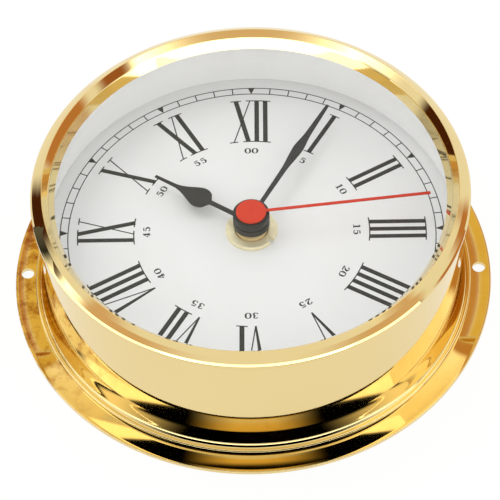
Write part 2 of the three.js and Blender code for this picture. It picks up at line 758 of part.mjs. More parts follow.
function mountingGroup() {
  const bushFlangeRadius = bushRadius + bushFlangeWidth;
  const washerRadius = bushRadius + washerWidth;
  const bush = turned([[bushBore, bushFlangeZ], [bushFlangeRadius, bushFlangeZ], [bushFlangeRadius, plateZ],
    [bushRadius, plateZ], [bushRadius, bushTopZ - bushChamfer], [bushRadius - bushChamfer, bushTopZ],
    [bushBore, bushTopZ]], smallRound);
  const nutTopZ = dialZ + nutThickness;
  let nut = turned([[bushRadius + seatGap, dialZ], [nutRadius, dialZ], [nutRadius, nutTopZ - nutChamfer],
    [nutRadius - nutChamfer, nutTopZ], [bushRadius + seatGap, nutTopZ]], smallRound);
  for (const side of [0, 180]) {
    const slot = block(nutRadius - nutSlotDepth, nutRadius + 1, -nutSlotWidth / 2, nutSlotWidth / 2,
      dialZ - 1, nutTopZ + 1).rotate([0, 0, nutSlotAngle + side]);
    nut = nut.subtract(slot);
  }
  return group(
    piece('threaded_bush', bush, satinBrass),
    piece('rubber_washer', ring(bushRadius + seatGap, washerRadius, frontZ, dialBackZ, smallRound),
      blackRubber),
    piece('dial_nut', nut, satinBrass),
  );
}

// Rotor, intermediate wheel, seconds wheel, third wheel and centre wheel, each on its own arbor.
function trainGroup() {
  const secondsWheelTop = secondsWheelZ + wheelThickness;
  const thirdWheelTop = thirdWheelZ + wheelThickness;
  const centreWheelTop = centreWheelZ + wheelThickness;
  const towardsThird = turn(thirdDirection);
  const towardsIntermediate = turn(intermediateDirection);
  const towardsRotor = turn(rotorDirection);

  const magnetZ = floorZ + magnetLevel;
  const magnetTop = magnetZ + magnetHeight;
  const magnet = ring(arborRadius + seatGap, magnetRadius, magnetZ, magnetTop, smallRound);
  const rotorPhase = meshPhase(towardsRotor, intermediateWheelTeeth, towardsRotor, rotorPinionTeeth);
  const rotor = join(
    toothed(rotorPinionTeeth, rotorModule, magnetTop + clearance, thirdWheelTop + pinionOverrun, rotorPhase),
    disc(arborRadius, pivotLowZ, pivotHighZ, pinRound));

  const intermediatePhase = meshPhase(towardsIntermediate, secondsWheelTeeth, towardsIntermediate,
    intermediatePinionTeeth);
  const intermediate = join(
    toothed(intermediatePinionTeeth, secondsModule, secondsWheelZ - pinionOverrun, thirdWheelZ,
      intermediatePhase),
    toothed(intermediateWheelTeeth, rotorModule, thirdWheelZ, thirdWheelTop, towardsRotor),
    disc(arborRadius, pivotLowZ, pivotHighZ, pinRound));

  const arborHole = disc(secondsArborRadius + seatGap, 0, crestZ, pinRound);
  const seconds = join(
    toothed(secondsWheelTeeth, secondsModule, secondsWheelZ, secondsWheelTop, towardsIntermediate),
    toothed(secondsPinionTeeth, thirdModule, secondsWheelTop, thirdWheelTop + pinionOverrun, towardsThird))
    .subtract(arborHole);

  const thirdPhase = meshPhase(towardsThird, secondsPinionTeeth, towardsThird, thirdWheelTeeth);
  const thirdPinionPhase = meshPhase(towardsThird, centreWheelTeeth, towardsThird, thirdPinionTeeth);
  const third = join(
    toothed(thirdWheelTeeth, thirdModule, thirdWheelZ, thirdWheelTop, thirdPhase),
    toothed(thirdPinionTeeth, centreModule, thirdWheelTop, centreWheelTop + pinionOverrun, thirdPinionPhase),
    disc(arborRadius, pivotLowZ, pivotHighZ, pinRound));

  const centre = toothed(centreWheelTeeth, centreModule, centreWheelZ, centreWheelTop, towardsThird)
    .subtract(disc(minutePipeRadius + seatGap, 0, crestZ, smallRound));
  return group(
    piece('rotor_magnet', magnet, greyMagnet, rotorAxis),
    piece('rotor_pinion', rotor, ivoryPlastic, rotorAxis),
    piece('intermediate_wheel', intermediate, ivoryPlastic, intermediateAxis),
    piece('seconds_wheel', seconds, ivoryPlastic),
    piece('seconds_arbor', disc(secondsArborRadius, pivotLowZ, secondCapZ, pinRound), steel),
    piece('third_wheel', third, ivoryPlastic, thirdAxis),
    piece('centre_wheel', centre, ivoryPlastic),
  );
}

// Motion work: the cannon pinion drives the minute wheel, whose pinion drives the hour wheel.
function motionGroup() {
  const minuteWheelTop = minuteWheelZ + wheelThickness;
  const hourWheelTop = hourWheelZ + wheelThickness;
  const towardsMinute = turn(minuteDirection);
  const towardsKnob = turn(knobDirection);
  const minutePipeLow = thirdWheelZ + wheelThickness + pinionOverrun + clearance;
  const minutePipe = join(
    disc(minutePipeRadius, minutePipeLow, minuteHubTopZ - minutePipeStop, smallRound),
    toothed(cannonPinionTeeth, motionModule, centreWheelZ + wheelThickness + clearance,
      minuteWheelTop + pinionOverrun, towardsMinute))
    .subtract(disc(minutePipeBore, 0, crestZ, pinRound));

  const minutePhase = meshPhase(towardsMinute, cannonPinionTeeth, towardsMinute, minuteWheelTeeth);
  const minutePinionPhase = meshPhase(towardsMinute, hourWheelTeeth, towardsMinute, minutePinionTeeth);
  const minute = join(
    toothed(minuteWheelTeeth, motionModule, minuteWheelZ, minuteWheelTop, minutePhase),
    toothed(minutePinionTeeth, hourModule, minuteWheelTop, hourWheelTop, minutePinionPhase),
    disc(arborRadius, pivotLowZ, plateZ, pinRound));

  const hour = join(
    toothed(hourWheelTeeth, hourModule, hourWheelZ, hourWheelTop, towardsMinute),
    disc(hourPipeRadius, hourWheelZ - clearance, hourHubTopZ - hourPipeStop, smallRound))
    .subtract(disc(hourPipeBore, 0, crestZ, smallRound));

  const knobPhase = meshPhase(minutePhase, minuteWheelTeeth, towardsKnob, knobGearTeeth);
  const knobTopZ = knobSetback + knobThickness;
  const knobShaft = join(
    disc(knobShaftRadius, knobTopZ, minuteWheelTop + pinionOverrun, pinRound),
    toothed(knobGearTeeth, motionModule, minuteWheelZ - pinionOverrun, minuteWheelTop + pinionOverrun,
      knobPhase),
    disc(arborRadius, knobTopZ, pivotHighZ, pinRound));
  return group(
    piece('minute_pipe', minutePipe, ivoryPlastic),
    piece('minute_wheel', minute, ivoryPlastic, minuteAxis),
    piece('hour_wheel', hour, ivoryPlastic),
    piece('setting_shaft', knobShaft, ivoryPlastic, knobAxis),
    piece('setting_knob', knobHead(knobTopZ), blackPlastic, knobAxis),
  );
}

function knobHead(top) {
  const shape = new THREE.Shape();
  for (let i = 0; i < 2 * knobRibs; i++) {
    const angle = Math.PI * i / knobRibs;
    const radius = i % 2 ? knobRadius : knobRadius - knobRibDepth;
    const [x, y] = [radius * Math.cos(angle), radius * Math.sin(angle)];
    if (i) shape.lineTo(x, y);
    else shape.moveTo(x, y);
  }
  return plate(shape, knobSetback, top);
}

// A blade lies along +Y from the hub. Its outline is drawn on one side and mirrored.
function blade(rightSide, low, high) {
  const shape = new THREE.Shape();
  shape.moveTo(...rightSide.start);
  rightSide.draw(shape);
  const points = shape.getPoints(5);
  const mirrored = points.slice().reverse().map((point) => new THREE.Vector2(-point.x, point.y));
  return plate(new THREE.Shape([...points, ...mirrored]), low, high);
}

function hourHand() {
  const low = hourHubZ + hourBladeRise;
  const meet = Math.asin(hourStalkHalf / hourBulbRadius);
  const leave = turn(hourBulbEnd);
  const leaveX = hourBulbRadius * Math.sin(leave);
  const leaveY = hourBulbCentre + hourBulbRadius * Math.cos(leave);
  const outline = {
    start: [hourStalkHalf, 0],
    draw(shape) {
      shape.lineTo(hourStalkHalf, hourBulbCentre - hourBulbRadius * Math.cos(meet));
      shape.absarc(0, hourBulbCentre, hourBulbRadius, meet - Math.PI / 2, Math.PI / 2 - leave, false);
      shape.bezierCurveTo(0.65 * leaveX, leaveY + 0.6 * hourBulbRadius, 1.1 * hourTipHalf,
        leaveY + hourBulbRadius, hourTipHalf, leaveY + 2.3 * hourBulbRadius);
      shape.lineTo(hourTipHalf, hourHandLength);
    },
  };
  const solid = join(
    disc(hubRadius, hourHubZ, hourHubTopZ, smallRound),
    blade(outline, low, low + bladeThickness))
    .subtract(disc(hourPipeRadius + seatGap, 0, crestZ, smallRound));
  return turnedTo(piece('hour_hand', solid, blackPaint), hourAngle);
}

function minuteHand() {
  const low = minuteHubZ + minuteBladeRise;
  const outline = {
    start: [minuteStalkHalf, 0],
    draw(shape) {
      shape.lineTo(minuteStalkHalf, hubRadius);
      shape.lineTo(minuteWaistHalf, minuteWaistRadius);
      shape.bezierCurveTo(minuteWaistHalf, minuteWaistRadius + 2.5, minuteSwellHalf, minuteSwellRadius - 3,
        minuteSwellHalf, minuteSwellRadius);
      shape.bezierCurveTo(minuteSwellHalf, minuteSwellRadius + 2.4, minuteNeckHalf, minuteNeckRadius - 3,
        minuteNeckHalf, minuteNeckRadius);
      shape.lineTo(minuteTipHalf, minuteHandLength);
    },
  };
  const solid = join(
    disc(hubRadius, minuteHubZ, minuteHubTopZ, smallRound),
    blade(outline, low, low + bladeThickness))
    .subtract(disc(minutePipeRadius + seatGap, 0, crestZ, smallRound));
  return turnedTo(piece('minute_hand', solid, blackPaint), minuteAngle);
}

function secondHand() {
  const top = secondCapZ + secondCapThickness;
  const cap = turned([[0, secondCapZ], [secondCapRadius, secondCapZ], [secondCapRadius, top - secondCapEdge],
    [secondCapRadius - secondCapEdge, top], [secondCapDimple, top], [0, top - secondDimpleDepth]],
    smallRound);
  const strip = block(-secondBladeHalf, secondBladeHalf, 0, secondHandLength, secondCapZ,
    secondCapZ + secondBladeThickness).subtract(disc(secondCapRadius / 2, 0, crestZ, smallRound));
  const tubeBore = secondsArborRadius + seatGap;
  const tube = ring(tubeBore, tubeBore + secondTubeWall, minuteHubTopZ - secondTubeDepth,
    secondCapZ + overlap, pinRound);
  return turnedTo(piece('second_hand', join(cap, strip, tube), redPaint), secondAngle);
}

function turnedTo(mesh, clockDegrees) {
  mesh.rotation.z = -turn(clockDegrees);
  return mesh;
}

const marineClock = group(
  caseBody(),
  frontGroup(),
  backGroup(),
  group(frontShell(), wheelBridge(), backShell(), mountingGroup(), motorGroup(), boardGroup(), batteryGroup(),
    trainGroup(), motionGroup()),
  group(hourHand(), minuteHand(), secondHand()),
);

export default marineClock;
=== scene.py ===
# %% [markdown]
# # A brass ship's clock lying on its back
# The clock is a turned brass case with a screwed bezel, a flat glass, a printed dial and three hands.
# Behind the dial sits a quartz movement with its battery.
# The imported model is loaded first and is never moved. New pieces are made round it, in the same place.

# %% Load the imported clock
import math

import bmesh
import bpy
from mathutils import Matrix, Vector


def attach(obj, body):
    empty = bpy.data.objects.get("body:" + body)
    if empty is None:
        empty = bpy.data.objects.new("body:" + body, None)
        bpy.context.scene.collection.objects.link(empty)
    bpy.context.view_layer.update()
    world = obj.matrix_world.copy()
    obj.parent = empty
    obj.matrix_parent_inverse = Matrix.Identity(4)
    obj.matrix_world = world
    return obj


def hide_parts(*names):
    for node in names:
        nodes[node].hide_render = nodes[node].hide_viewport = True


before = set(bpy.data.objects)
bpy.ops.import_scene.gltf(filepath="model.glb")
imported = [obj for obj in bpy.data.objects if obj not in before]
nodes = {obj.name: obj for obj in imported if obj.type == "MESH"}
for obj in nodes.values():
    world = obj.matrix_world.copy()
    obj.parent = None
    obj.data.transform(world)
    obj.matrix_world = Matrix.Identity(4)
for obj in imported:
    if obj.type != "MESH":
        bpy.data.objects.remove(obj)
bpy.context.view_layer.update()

# %% [markdown]
# ## The camera
# The photograph was taken from in front of the clock, a little over half way up, with a long lens.
# The numbers were fitted to the circles of the flange, the bezel and the dial, so that each of these falls
# where the photograph shows it. A camera object looks along its own -Z, so its axes fill a matrix directly.

# %% Camera
MM = 0.001
CAMERA_ELEVATION = 0.908777    # radians
CAMERA_AZIMUTH = 0.0248287     # radians
CAMERA_ROLL = -0.0342592       # radians
CAMERA_PLACE = Vector((7.314, -317.687, 417.010)) * MM
FOCAL_PIXELS = 2067.07
FRAME_PIXELS = 500
SENSOR_WIDTH = 36.0            # mm
NEAR_CLIP = 0.01               # m

back = Vector((
    math.sin(CAMERA_AZIMUTH) * math.cos(CAMERA_ELEVATION),
    -math.cos(CAMERA_AZIMUTH) * math.cos(CAMERA_ELEVATION),
    math.sin(CAMERA_ELEVATION)))
level = Vector((math.cos(CAMERA_AZIMUTH), math.sin(CAMERA_AZIMUTH), 0))
steep = back.cross(level)
right = math.cos(CAMERA_ROLL) * level + math.sin(CAMERA_ROLL) * steep
up = -math.sin(CAMERA_ROLL) * level + math.cos(CAMERA_ROLL) * steep
lens = bpy.data.cameras.new("camera")
lens.sensor_width = SENSOR_WIDTH
lens.lens = FOCAL_PIXELS / FRAME_PIXELS * SENSOR_WIDTH
lens.clip_start = NEAR_CLIP
camera = bpy.data.objects.new("camera", lens)
camera.matrix_world = Matrix((
    (right.x, up.x, back.x, CAMERA_PLACE.x),
    (right.y, up.y, back.y, CAMERA_PLACE.y),
    (right.z, up.z, back.z, CAMERA_PLACE.z),
    (0, 0, 0, 1)))
bpy.context.scene.collection.objects.link(camera)
bpy.context.scene.camera = camera
bpy.context.scene.view_settings.view_transform = "Standard"
print("lens", round(lens.lens, 1), "mm, distance", round(CAMERA_PLACE.length, 3), "m")

# %% [markdown]
# ## Helpers for materials
# Colours are written as sRGB hex values, as a paint chart gives them, and turned to linear in one place.
# One function adds any node with its settings and links, so that a material reads as the list of its nodes.

# %% Colour and node helpers
WHITE = (1, 1, 1, 1)


def linear(hex_colour):
    """Linear RGBA of an sRGB hex colour such as '#e6c672'."""
    parts = [int(hex_colour[i:i + 2], 16) / 255 for i in (1, 3, 5)]
    return [p / 12.92 if p <= 0.04045 else ((p + 0.055) / 1.055) ** 2.4 for p in parts] + [1]


def add(tree, kind, inputs=None, **settings):
    """Adds a node. settings are properties. inputs are values, sockets, or nodes for their first output."""
    made = tree.nodes.new(kind)
    for name, value in settings.items():
        setattr(made, name, value)
    for socket, value in (inputs or {}).items():
        if isinstance(value, bpy.types.Node):
            value = value.outputs[0]
        if isinstance(value, bpy.types.NodeSocket):
            tree.links.new(value, made.inputs[socket])
        else:
            made.inputs[socket].default_value = value
    return made


def new_material(name):
    """An empty node material, as (material, tree)."""
    material = bpy.data.materials.new(name)
    material.use_nodes = True
    material.node_tree.nodes.clear()
    return material, material.node_tree


def per_mm(size):
    """Noise scale that gives features of this size in millimetres, in object space in metres."""
    return 1 / (size * MM)


print("brass in linear", [round(v, 3) for v in linear("#e6c672")[:3]])

# %% [markdown]
# ## One recipe for a finish
# No real surface has one even colour or gloss. Pictures could bring that in, but noise needs no file and no
# unwrapping, and keeps its true size in millimetres on every piece. So each finish mixes two near tones by a
# noise, lets the gloss follow it, and adds a fine relief.

# %% Mixing and the finish recipe
NOISE_SPAN = (0.3, 0.7)   # between these lies nearly all of the noise


def mix_colours(tree, factor, first, second):
    """Mixes two colours, each a hex string, a list or a socket, and returns the mixed colour's socket."""
    first, second = (linear(colour) if isinstance(colour, str) else colour for colour in (first, second))
    return add(tree, "ShaderNodeMix", {0: factor, 6: first, 7: second}, data_type="RGBA").outputs[2]


def finish(name, light, deep, patch, roughness, spread, grain, depth, metallic=0.0, **sockets):
    """A finish with its small irregularities, as a material.

    light and deep are its paler and its deeper tone, and patch the size in mm of the patches between them.
    roughness varies by plus or minus spread. grain is the size and depth the height of the relief, in mm.
    sockets are constants for the shader.
    """
    material, tree = new_material(name)
    place = add(tree, "ShaderNodeTexCoord").outputs["Object"]
    patches = add(tree, "ShaderNodeTexNoise", {"Vector": place, "Scale": per_mm(patch), "Detail": 3.0})
    relief = add(tree, "ShaderNodeTexNoise", {"Vector": place, "Scale": per_mm(grain), "Detail": 4.0})
    rough = add(tree, "ShaderNodeMapRange",
                {"Value": patches, "From Min": NOISE_SPAN[0], "From Max": NOISE_SPAN[1],
                 "To Min": roughness - spread, "To Max": roughness + spread})
    bump = add(tree, "ShaderNodeBump", {"Height": relief, "Strength": 1.0, "Distance": depth * MM})
    shader = add(tree, "ShaderNodeBsdfPrincipled",
                 {"Base Color": mix_colours(tree, patches, light, deep), "Roughness": rough,
                  "Metallic": metallic, "Normal": bump, **sockets})
    add(tree, "ShaderNodeOutputMaterial", {"Surface": shader})
    return material


# %% [markdown]
# ## Polished brass
# The case and the bezel are turned from yellow brass, polished on a wheel and lacquered.
# A metal's colour is in its base colour. The lacquer is a thin coat over it, which pales it at low angles.
# Polishing leaves slow waves, and handling leaves brown tarnish on the flange, most of it on the left.

# %% Polished brass and satin brass
BRASS_LIGHT = "#ebd599"
BRASS_DEEP = "#e6cd8d"
BRASS_STAIN = "#a1601f"
STAIN_PATCH = 4.5      # mm
STAIN_TOP = 2.2        # mm above the table, where the tarnish ends
STAIN_SPAN = (0.44, 0.66)       # of the noise, where the metal starts to be stained and where it is fully so
HANDLED_SIDE = (-38.0, -52.0)   # mm across, where the stains start and where they are full
HANDLED_LEAST = 0.1    # share of the stains that the other side has

# The numbers are patch, roughness, its spread, grain and depth, here and in all the finishes below.
polished_brass = finish("polished lacquered brass", BRASS_LIGHT, BRASS_DEEP, 30.0, 0.035, 0.01, 40.0, 0.012,
                        metallic=1.0, **{"Coat Weight": 0.15, "Coat Roughness": 0.03})
tree = polished_brass.node_tree
shader = tree.nodes["Principled BSDF"]
clean = shader.inputs["Base Color"].links[0].from_socket
place = add(tree, "ShaderNodeTexCoord").outputs["Object"]
axes = add(tree, "ShaderNodeSeparateXYZ", {"Vector": place})
stains = add(tree, "ShaderNodeTexNoise",
             {"Vector": place, "Scale": per_mm(STAIN_PATCH), "Detail": 5.0, "Roughness": 0.65})
handled = add(tree, "ShaderNodeMapRange", {"Value": axes.outputs["X"], "From Min": HANDLED_SIDE[0] * MM,
                                           "From Max": HANDLED_SIDE[1] * MM, "To Min": HANDLED_LEAST})
low_down = add(tree, "ShaderNodeMapRange", {"Value": axes.outputs["Z"], "From Min": STAIN_TOP * MM,
                                            "From Max": STAIN_TOP * MM / 2, "To Max": handled})
stained = add(tree, "ShaderNodeMapRange",
              {"Value": stains, "From Min": STAIN_SPAN[0], "From Max": STAIN_SPAN[1], "To Max": low_down})
tree.links.new(mix_colours(tree, stained, clean, BRASS_STAIN), shader.inputs["Base Color"])

# Brushing draws a fine grain that blurs what the brass mirrors.
satin_brass = finish("brushed brass", "#d9c59a", "#c4a970", 1.5, 0.34, 0.08, 0.22, 0.006, metallic=1.0)
# Tumbling leaves the nut nearly matt. Its pale colour is partly painted light: it is lightened to make up for
# the shade that the hub casts on it.
nut_brass = finish("tumbled brass lightened with painted light", "#fbf3d4", "#eee0b4", 1.2, 0.45, 0.08, 0.3, 0.006, metallic=0.6)
print("brass finishes", polished_brass.name, "and", satin_brass.name)

# %% [markdown]
# ## Dial, ink and paint
# The dial is white lacquer with screen-printed ink, nearly matt. The inner wall is glossy white enamel.
# The hands are stamped brass under matt paint. All of them are the one recipe with numbers of their own.

# %% Paints and inks
FAINT_SHEEN = {"Specular IOR Level": 0.2}
# Sprayed lacquer is white and even, with a soft sheen.
dial_white = finish("white dial lacquer", "#ecebea", "#e7e6e4", 12.0, 0.5, 0.05, 0.35, 0.002,
                    **{"Specular IOR Level": 0.4})
# Screen ink dries dark grey rather than black.
ink = finish("printed black ink", "#3c3c38", "#343431", 0.7, 0.55, 0.05, 0.2, 0.003, **FAINT_SHEEN)
# Enamel is glassy and mirrors the bezel faintly.
wall_enamel = finish("white wall enamel", "#f5f4f3", "#f0efee", 9.0, 0.12, 0.03, 3.0, 0.004,
                     **{"Coat Weight": 0.5, "Coat Roughness": 0.05})
# Matt paint hides the metal and shows hardly any shine.
hand_paint = finish("matt black hand paint", "#3c3c3a", "#333331", 2.0, 0.5, 0.06, 0.25, 0.004, **FAINT_SHEEN)
red_paint = finish("red hand paint", "#cf3d26", "#c4331c", 2.5, 0.5, 0.05, 0.25, 0.004, **FAINT_SHEEN)

# %% [markdown]
# ## Glass
# The window is plain float glass. A path tracer would let no lamp light through a solid pane, so shadow rays
# and scattered rays pass it as if it were clear film, while the eye and reflections see real glass.

# %% Clear glass
GLASS_IOR = 1.22         # plain glass has 1.52, matched down to a bloomed pane, which shows hardly any glare
GLASS_TINT = "#feffff"


def any_ray(tree, *kinds):
    """1 for a ray of any of these kinds and 0 for all others."""
    ray = add(tree, "ShaderNodeLightPath")
    found = ray.outputs[kinds[0]]
    for kind in kinds[1:]:
        found = add(tree, "ShaderNodeMath", {0: found, 1: ray.outputs[kind]}, operation="MAXIMUM")
    return found


clear_glass, tree = new_material("clear float glass")
body = add(tree, "ShaderNodeBsdfPrincipled",
           {"Base Color": linear(GLASS_TINT), "Roughness": 0.0, "IOR": GLASS_IOR, "Transmission Weight": 1.0})
film = add(tree, "ShaderNodeBsdfTransparent", {"Color": linear(GLASS_TINT)})
pane = add(tree, "ShaderNodeMixShader",
           {0: any_ray(tree, "Is Shadow Ray", "Is Diffuse Ray"), 1: body, 2: film})
add(tree, "ShaderNodeOutputMaterial", {"Surface": pane})

# %% [markdown]
# ## Finishes of the hidden works
# The movement is moulded in black ABS, its wheels in ivory acetal, and its motor holds steel, copper and
# ferrite. Each still gets a finish of its own, since the back and the sides are seen too.

# %% Plastics, metals and rubber of the movement
# A spark-eroded mould leaves a fine matt grain, and powder coat a faint orange peel.
black_abs = finish("spark-textured black ABS", "#202022", "#19191b", 8.0, 0.5, 0.06, 0.3, 0.02)
cover_paint = finish("black powder coat", "#1f1f20", "#171718", 6.0, 0.42, 0.05, 0.5, 0.03)
# Acetal is smooth and milky, because light enters it a little.
ivory_acetal = finish("ivory acetal", "#ece7d6", "#e2dcc6", 2.0, 0.4, 0.05, 0.3, 0.004,
                      **{"Subsurface Weight": 0.1, "Subsurface Scale": 0.001})
# Nickel plate is bright and even, and sintered ferrite dull and granular.
nickel_steel = finish("nickel-plated steel", "#c3c4c6", "#b3b5b8", 2.0, 0.24, 0.06, 0.4, 0.003, metallic=1.0)
ferrite = finish("grey ferrite magnet", "#5c5d61", "#4c4d51", 0.6, 0.55, 0.08, 0.15, 0.01, metallic=0.4)
# Moulded rubber has hardly any shine.
washer_rubber = finish("black rubber", "#242424", "#1c1c1c", 1.5, 0.85, 0.05, 0.2, 0.02)
seal_rubber = finish("white silicone rubber", "#dededa", "#d2d2cc", 2.0, 0.6, 0.05, 0.3, 0.01)
# Solder mask and the cell's foil jacket are glossy films.
solder_mask = finish("green solder mask", "#33744b", "#2a6340", 1.2, 0.35, 0.05, 0.5, 0.01,
                     **{"Coat Weight": 0.3})
cell_jacket = finish("printed foil jacket", "#3f74ad", "#356499", 5.0, 0.3, 0.04, 1.0, 0.006,
                     **{"Coat Weight": 0.4})

# %% [markdown]
# ## Wound copper wire
# The motor's coil is thousands of turns of enamelled wire, glossy and reddish. Modelled turns would be too
# many points for what shows, so a wave of relief draws them.

# %% Wound copper wire
WIRE_DIAMETER = 0.25   # mm, drawn thicker than the real 0.03 mm wire so that the turns show
copper_wire = finish("enamelled copper wire", "#bf6237", "#a54f28", 1.0, 0.3, 0.05, 0.3, 0.003, metallic=1.0,
                     **{"Coat Weight": 0.6})
tree = copper_wire.node_tree
turns = add(tree, "ShaderNodeTexWave",
            {"Vector": add(tree, "ShaderNodeTexCoord").outputs["Object"],
             "Scale": per_mm(WIRE_DIAMETER * 2 * math.pi), "Distortion": 0.0}, bands_direction="Y")
relief = add(tree, "ShaderNodeBump",
             {"Height": turns.outputs["Fac"], "Strength": 1.0, "Distance": WIRE_DIAMETER / 3 * MM})
tree.links.new(relief.outputs["Normal"], tree.nodes["Principled BSDF"].inputs["Normal"])
print("materials so far", len(bpy.data.materials))

# %% [markdown]
# ## Helpers for shapes
# A piece is a mesh whose points are worked out here, in millimetres. It could be modelled by hand in the
# viewport, but a formula keeps its sizes readable. Cuts and joins are booleans that are applied at once.

# %% Pieces from points
SHARP_ANGLE = math.radians(34)
FINE = 256             # sides of the large turned pieces
SMALL = 96             # sides of the small turned pieces


def make_piece(name, points, faces, material, body="root", slot=None, replaces=()):
    """A mesh piece from points in mm. It rides on a body and may stand for CAD nodes."""
    mesh = bpy.data.meshes.new(name)
    mesh.from_pydata([Vector(p) * MM for p in points], [], faces)
    shape = bmesh.new()
    shape.from_mesh(mesh)
    bmesh.ops.recalc_face_normals(shape, faces=shape.faces)
    shape.to_mesh(mesh)
    shape.free()
    piece = bpy.data.objects.new(name, mesh)
    bpy.context.scene.collection.objects.link(piece)
    mesh.materials.append(material)
    smooth(piece)
    if body:
        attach(piece, body)
    if replaces:
        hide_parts(*replaces)
    return piece


def smooth(piece):
    """Shades a piece smooth, apart from its corners."""
    piece.data.polygons.foreach_set("use_smooth", [True] * len(piece.data.polygons))
    piece.data.set_sharp_from_angle(angle=SHARP_ANGLE)
    piece.data.update()


def combine(piece, tool, operation, crossing=False):
    """Joins a tool to a piece (UNION) or cuts it away (DIFFERENCE), and deletes the tool.

    crossing says that the strokes in one of them run through each other.
    """
    modifier = piece.modifiers.new(operation.lower(), "BOOLEAN")
    modifier.operation = operation
    modifier.solver = "EXACT"
    modifier.use_self = crossing
    modifier.object = tool
    depsgraph = bpy.context.evaluated_depsgraph_get()
    result = bpy.data.meshes.new_from_object(piece.evaluated_get(depsgraph))
    piece.modifiers.clear()
    piece.data = result
    bpy.data.objects.remove(tool)
    smooth(piece)


# %% [markdown]
# ## Turned outlines
# Nearly everything on a clock is turned on a lathe. An outline of radius and height, revolved about the axis,
# gives all its grooves in one sweep. Softened corners catch a line of light along the edges, as real ones do.

# %% Turned outlines
HOLD = 0.04            # mm, distance of the extra points that keep a flat flat


def arc(radius, height, radial, vertical, start, end, steps):
    """Points of an ellipse's arc in the turning plane, between two angles in degrees."""
    angles = [math.radians(start + (end - start) * i / steps) for i in range(steps + 1)]
    return [(radius + radial * math.cos(a), height + vertical * math.sin(a)) for a in angles]


def soften(corners, steps=4):
    """Closed outline from (radius, height) or (radius, height, rounding) corners."""
    outline = []
    for i, corner in enumerate(corners):
        here = Vector(corner[:2])
        if len(corner) < 3:
            outline.append(tuple(here))
            continue
        before = (Vector(corners[i - 1][:2]) - here).normalized()
        after = (Vector(corners[(i + 1) % len(corners)][:2]) - here).normalized()
        half = math.acos(max(-1, min(1, before.dot(after)))) / 2
        reach = corner[2] / math.tan(half)
        centre = here + (before + after).normalized() * (corner[2] / math.sin(half))
        start, end = here + before * reach - centre, here + after * reach - centre
        turn = start.angle_signed(end)
        outline.append(tuple(here + before * (reach + HOLD)))
        for step in range(steps + 1):
            spun = Matrix.Rotation(-turn * step / steps, 2) @ start
            outline.append(tuple(centre + spun))
        outline.append(tuple(here + after * (reach + HOLD)))
    return outline


def lathe(outline, sides, x=0.0, y=0.0):
    """Points and faces of a closed outline revolved about a vertical axis at (x, y)."""
    points, faces, rings = [], [], []
    for radius, height in outline:
        count = 1 if radius < 1e-6 else sides
        rings.append([len(points) + i % count for i in range(sides)])
        for i in range(count):
            angle = 2 * math.pi * i / sides
            points.append((x + radius * math.cos(angle), y + radius * math.sin(angle), height))
    for ring, following in zip(rings, rings[1:] + rings[:1]):
        for i in range(sides):
            j = (i + 1) % sides
            face = list(dict.fromkeys((ring[i], ring[j], following[j], following[i])))
            if len(face) > 2:
                faces.append(face)
    return points, faces


def turned(name, outline, material, sides=FINE, x=0.0, y=0.0, **how):
    points, faces = lathe(outline, sides, x, y)
    return make_piece(name, points, faces, material, **how)


# %% Blocks and pins
def stacked(levels):
    """Points and faces of a solid from (height, loop) levels, whose loops have as many (x, y) points each."""
    count = len(levels[0][1])
    points = [(x, y, z) for z, loop in levels for x, y in loop]
    last = len(points) - count
    faces = [tuple(range(count)), tuple(range(last, len(points)))]
    for low in range(0, last, count):
        for i in range(count):
            j = (i + 1) % count
            faces.append((low + i, low + j, low + count + j, low + count + i))
    return points, faces


def box_tool(near, far, half, low, high, angle=0.0, x=0.0, y=0.0):
    """A block that cuts or joins, from near to far along a line from (x, y) at an angle in degrees."""
    loop = ((near, -half), (far, -half), (far, half), (near, half))
    tool = make_piece("tool", *stacked([(low, loop), (high, loop)]), cover_paint, body=None)
    place = Matrix.Translation(Vector((x, y, 0)) * MM)
    tool.data.transform(place @ Matrix.Rotation(math.radians(angle), 4, "Z"))
    return tool


def pin_tool(radius, low, high, x, y, sides=SMALL):
    return turned("tool", [(0, low), (radius, low), (radius, high), (0, high)], cover_paint, sides, x, y,
                  body=None)


# %% [markdown]
# ## The case
# Flange, half-round bead, hollow cove and straight wall are turned in one piece, with two fixing holes. One
# outline of arcs and formulas gives them all, and the holes are cut out afterwards.

# %% Brass case
WALL_RADIUS = 52.2
BORE_RADIUS = 51.4
FLANGE_RADIUS = 60.0
FLANGE_TOP = 1.1
RIM_HEIGHT = 33.3
HOLE_CIRCLE = 57.1
HOLE_RADIUS = 1.6
LAND_OUTER = 59.5      # the flange's land, dished by pressing, reaches from here
LAND_INNER = 55.0      # to here
LAND_LOW = 0.86        # its height at the bead
LAND_TURN = 54.0       # radius at which it would lie level
LAND_BEND = 51.0       # radius of the dish's curve
BEAD_MIDDLE = 54.375
BEAD_HALF = 0.625
BEAD_HEIGHT = 0.9
BEAD_SQUARENESS = 3.2  # 2 is an ellipse, more has a flatter top
BEAD_END = 155         # degrees round the bead, where the cove cuts it off
COVE = (53.75, 6.6, 1.55, 5.1)   # radius and height of the hollow's middle, and its two half axes
WALL_FOOT = 6.7
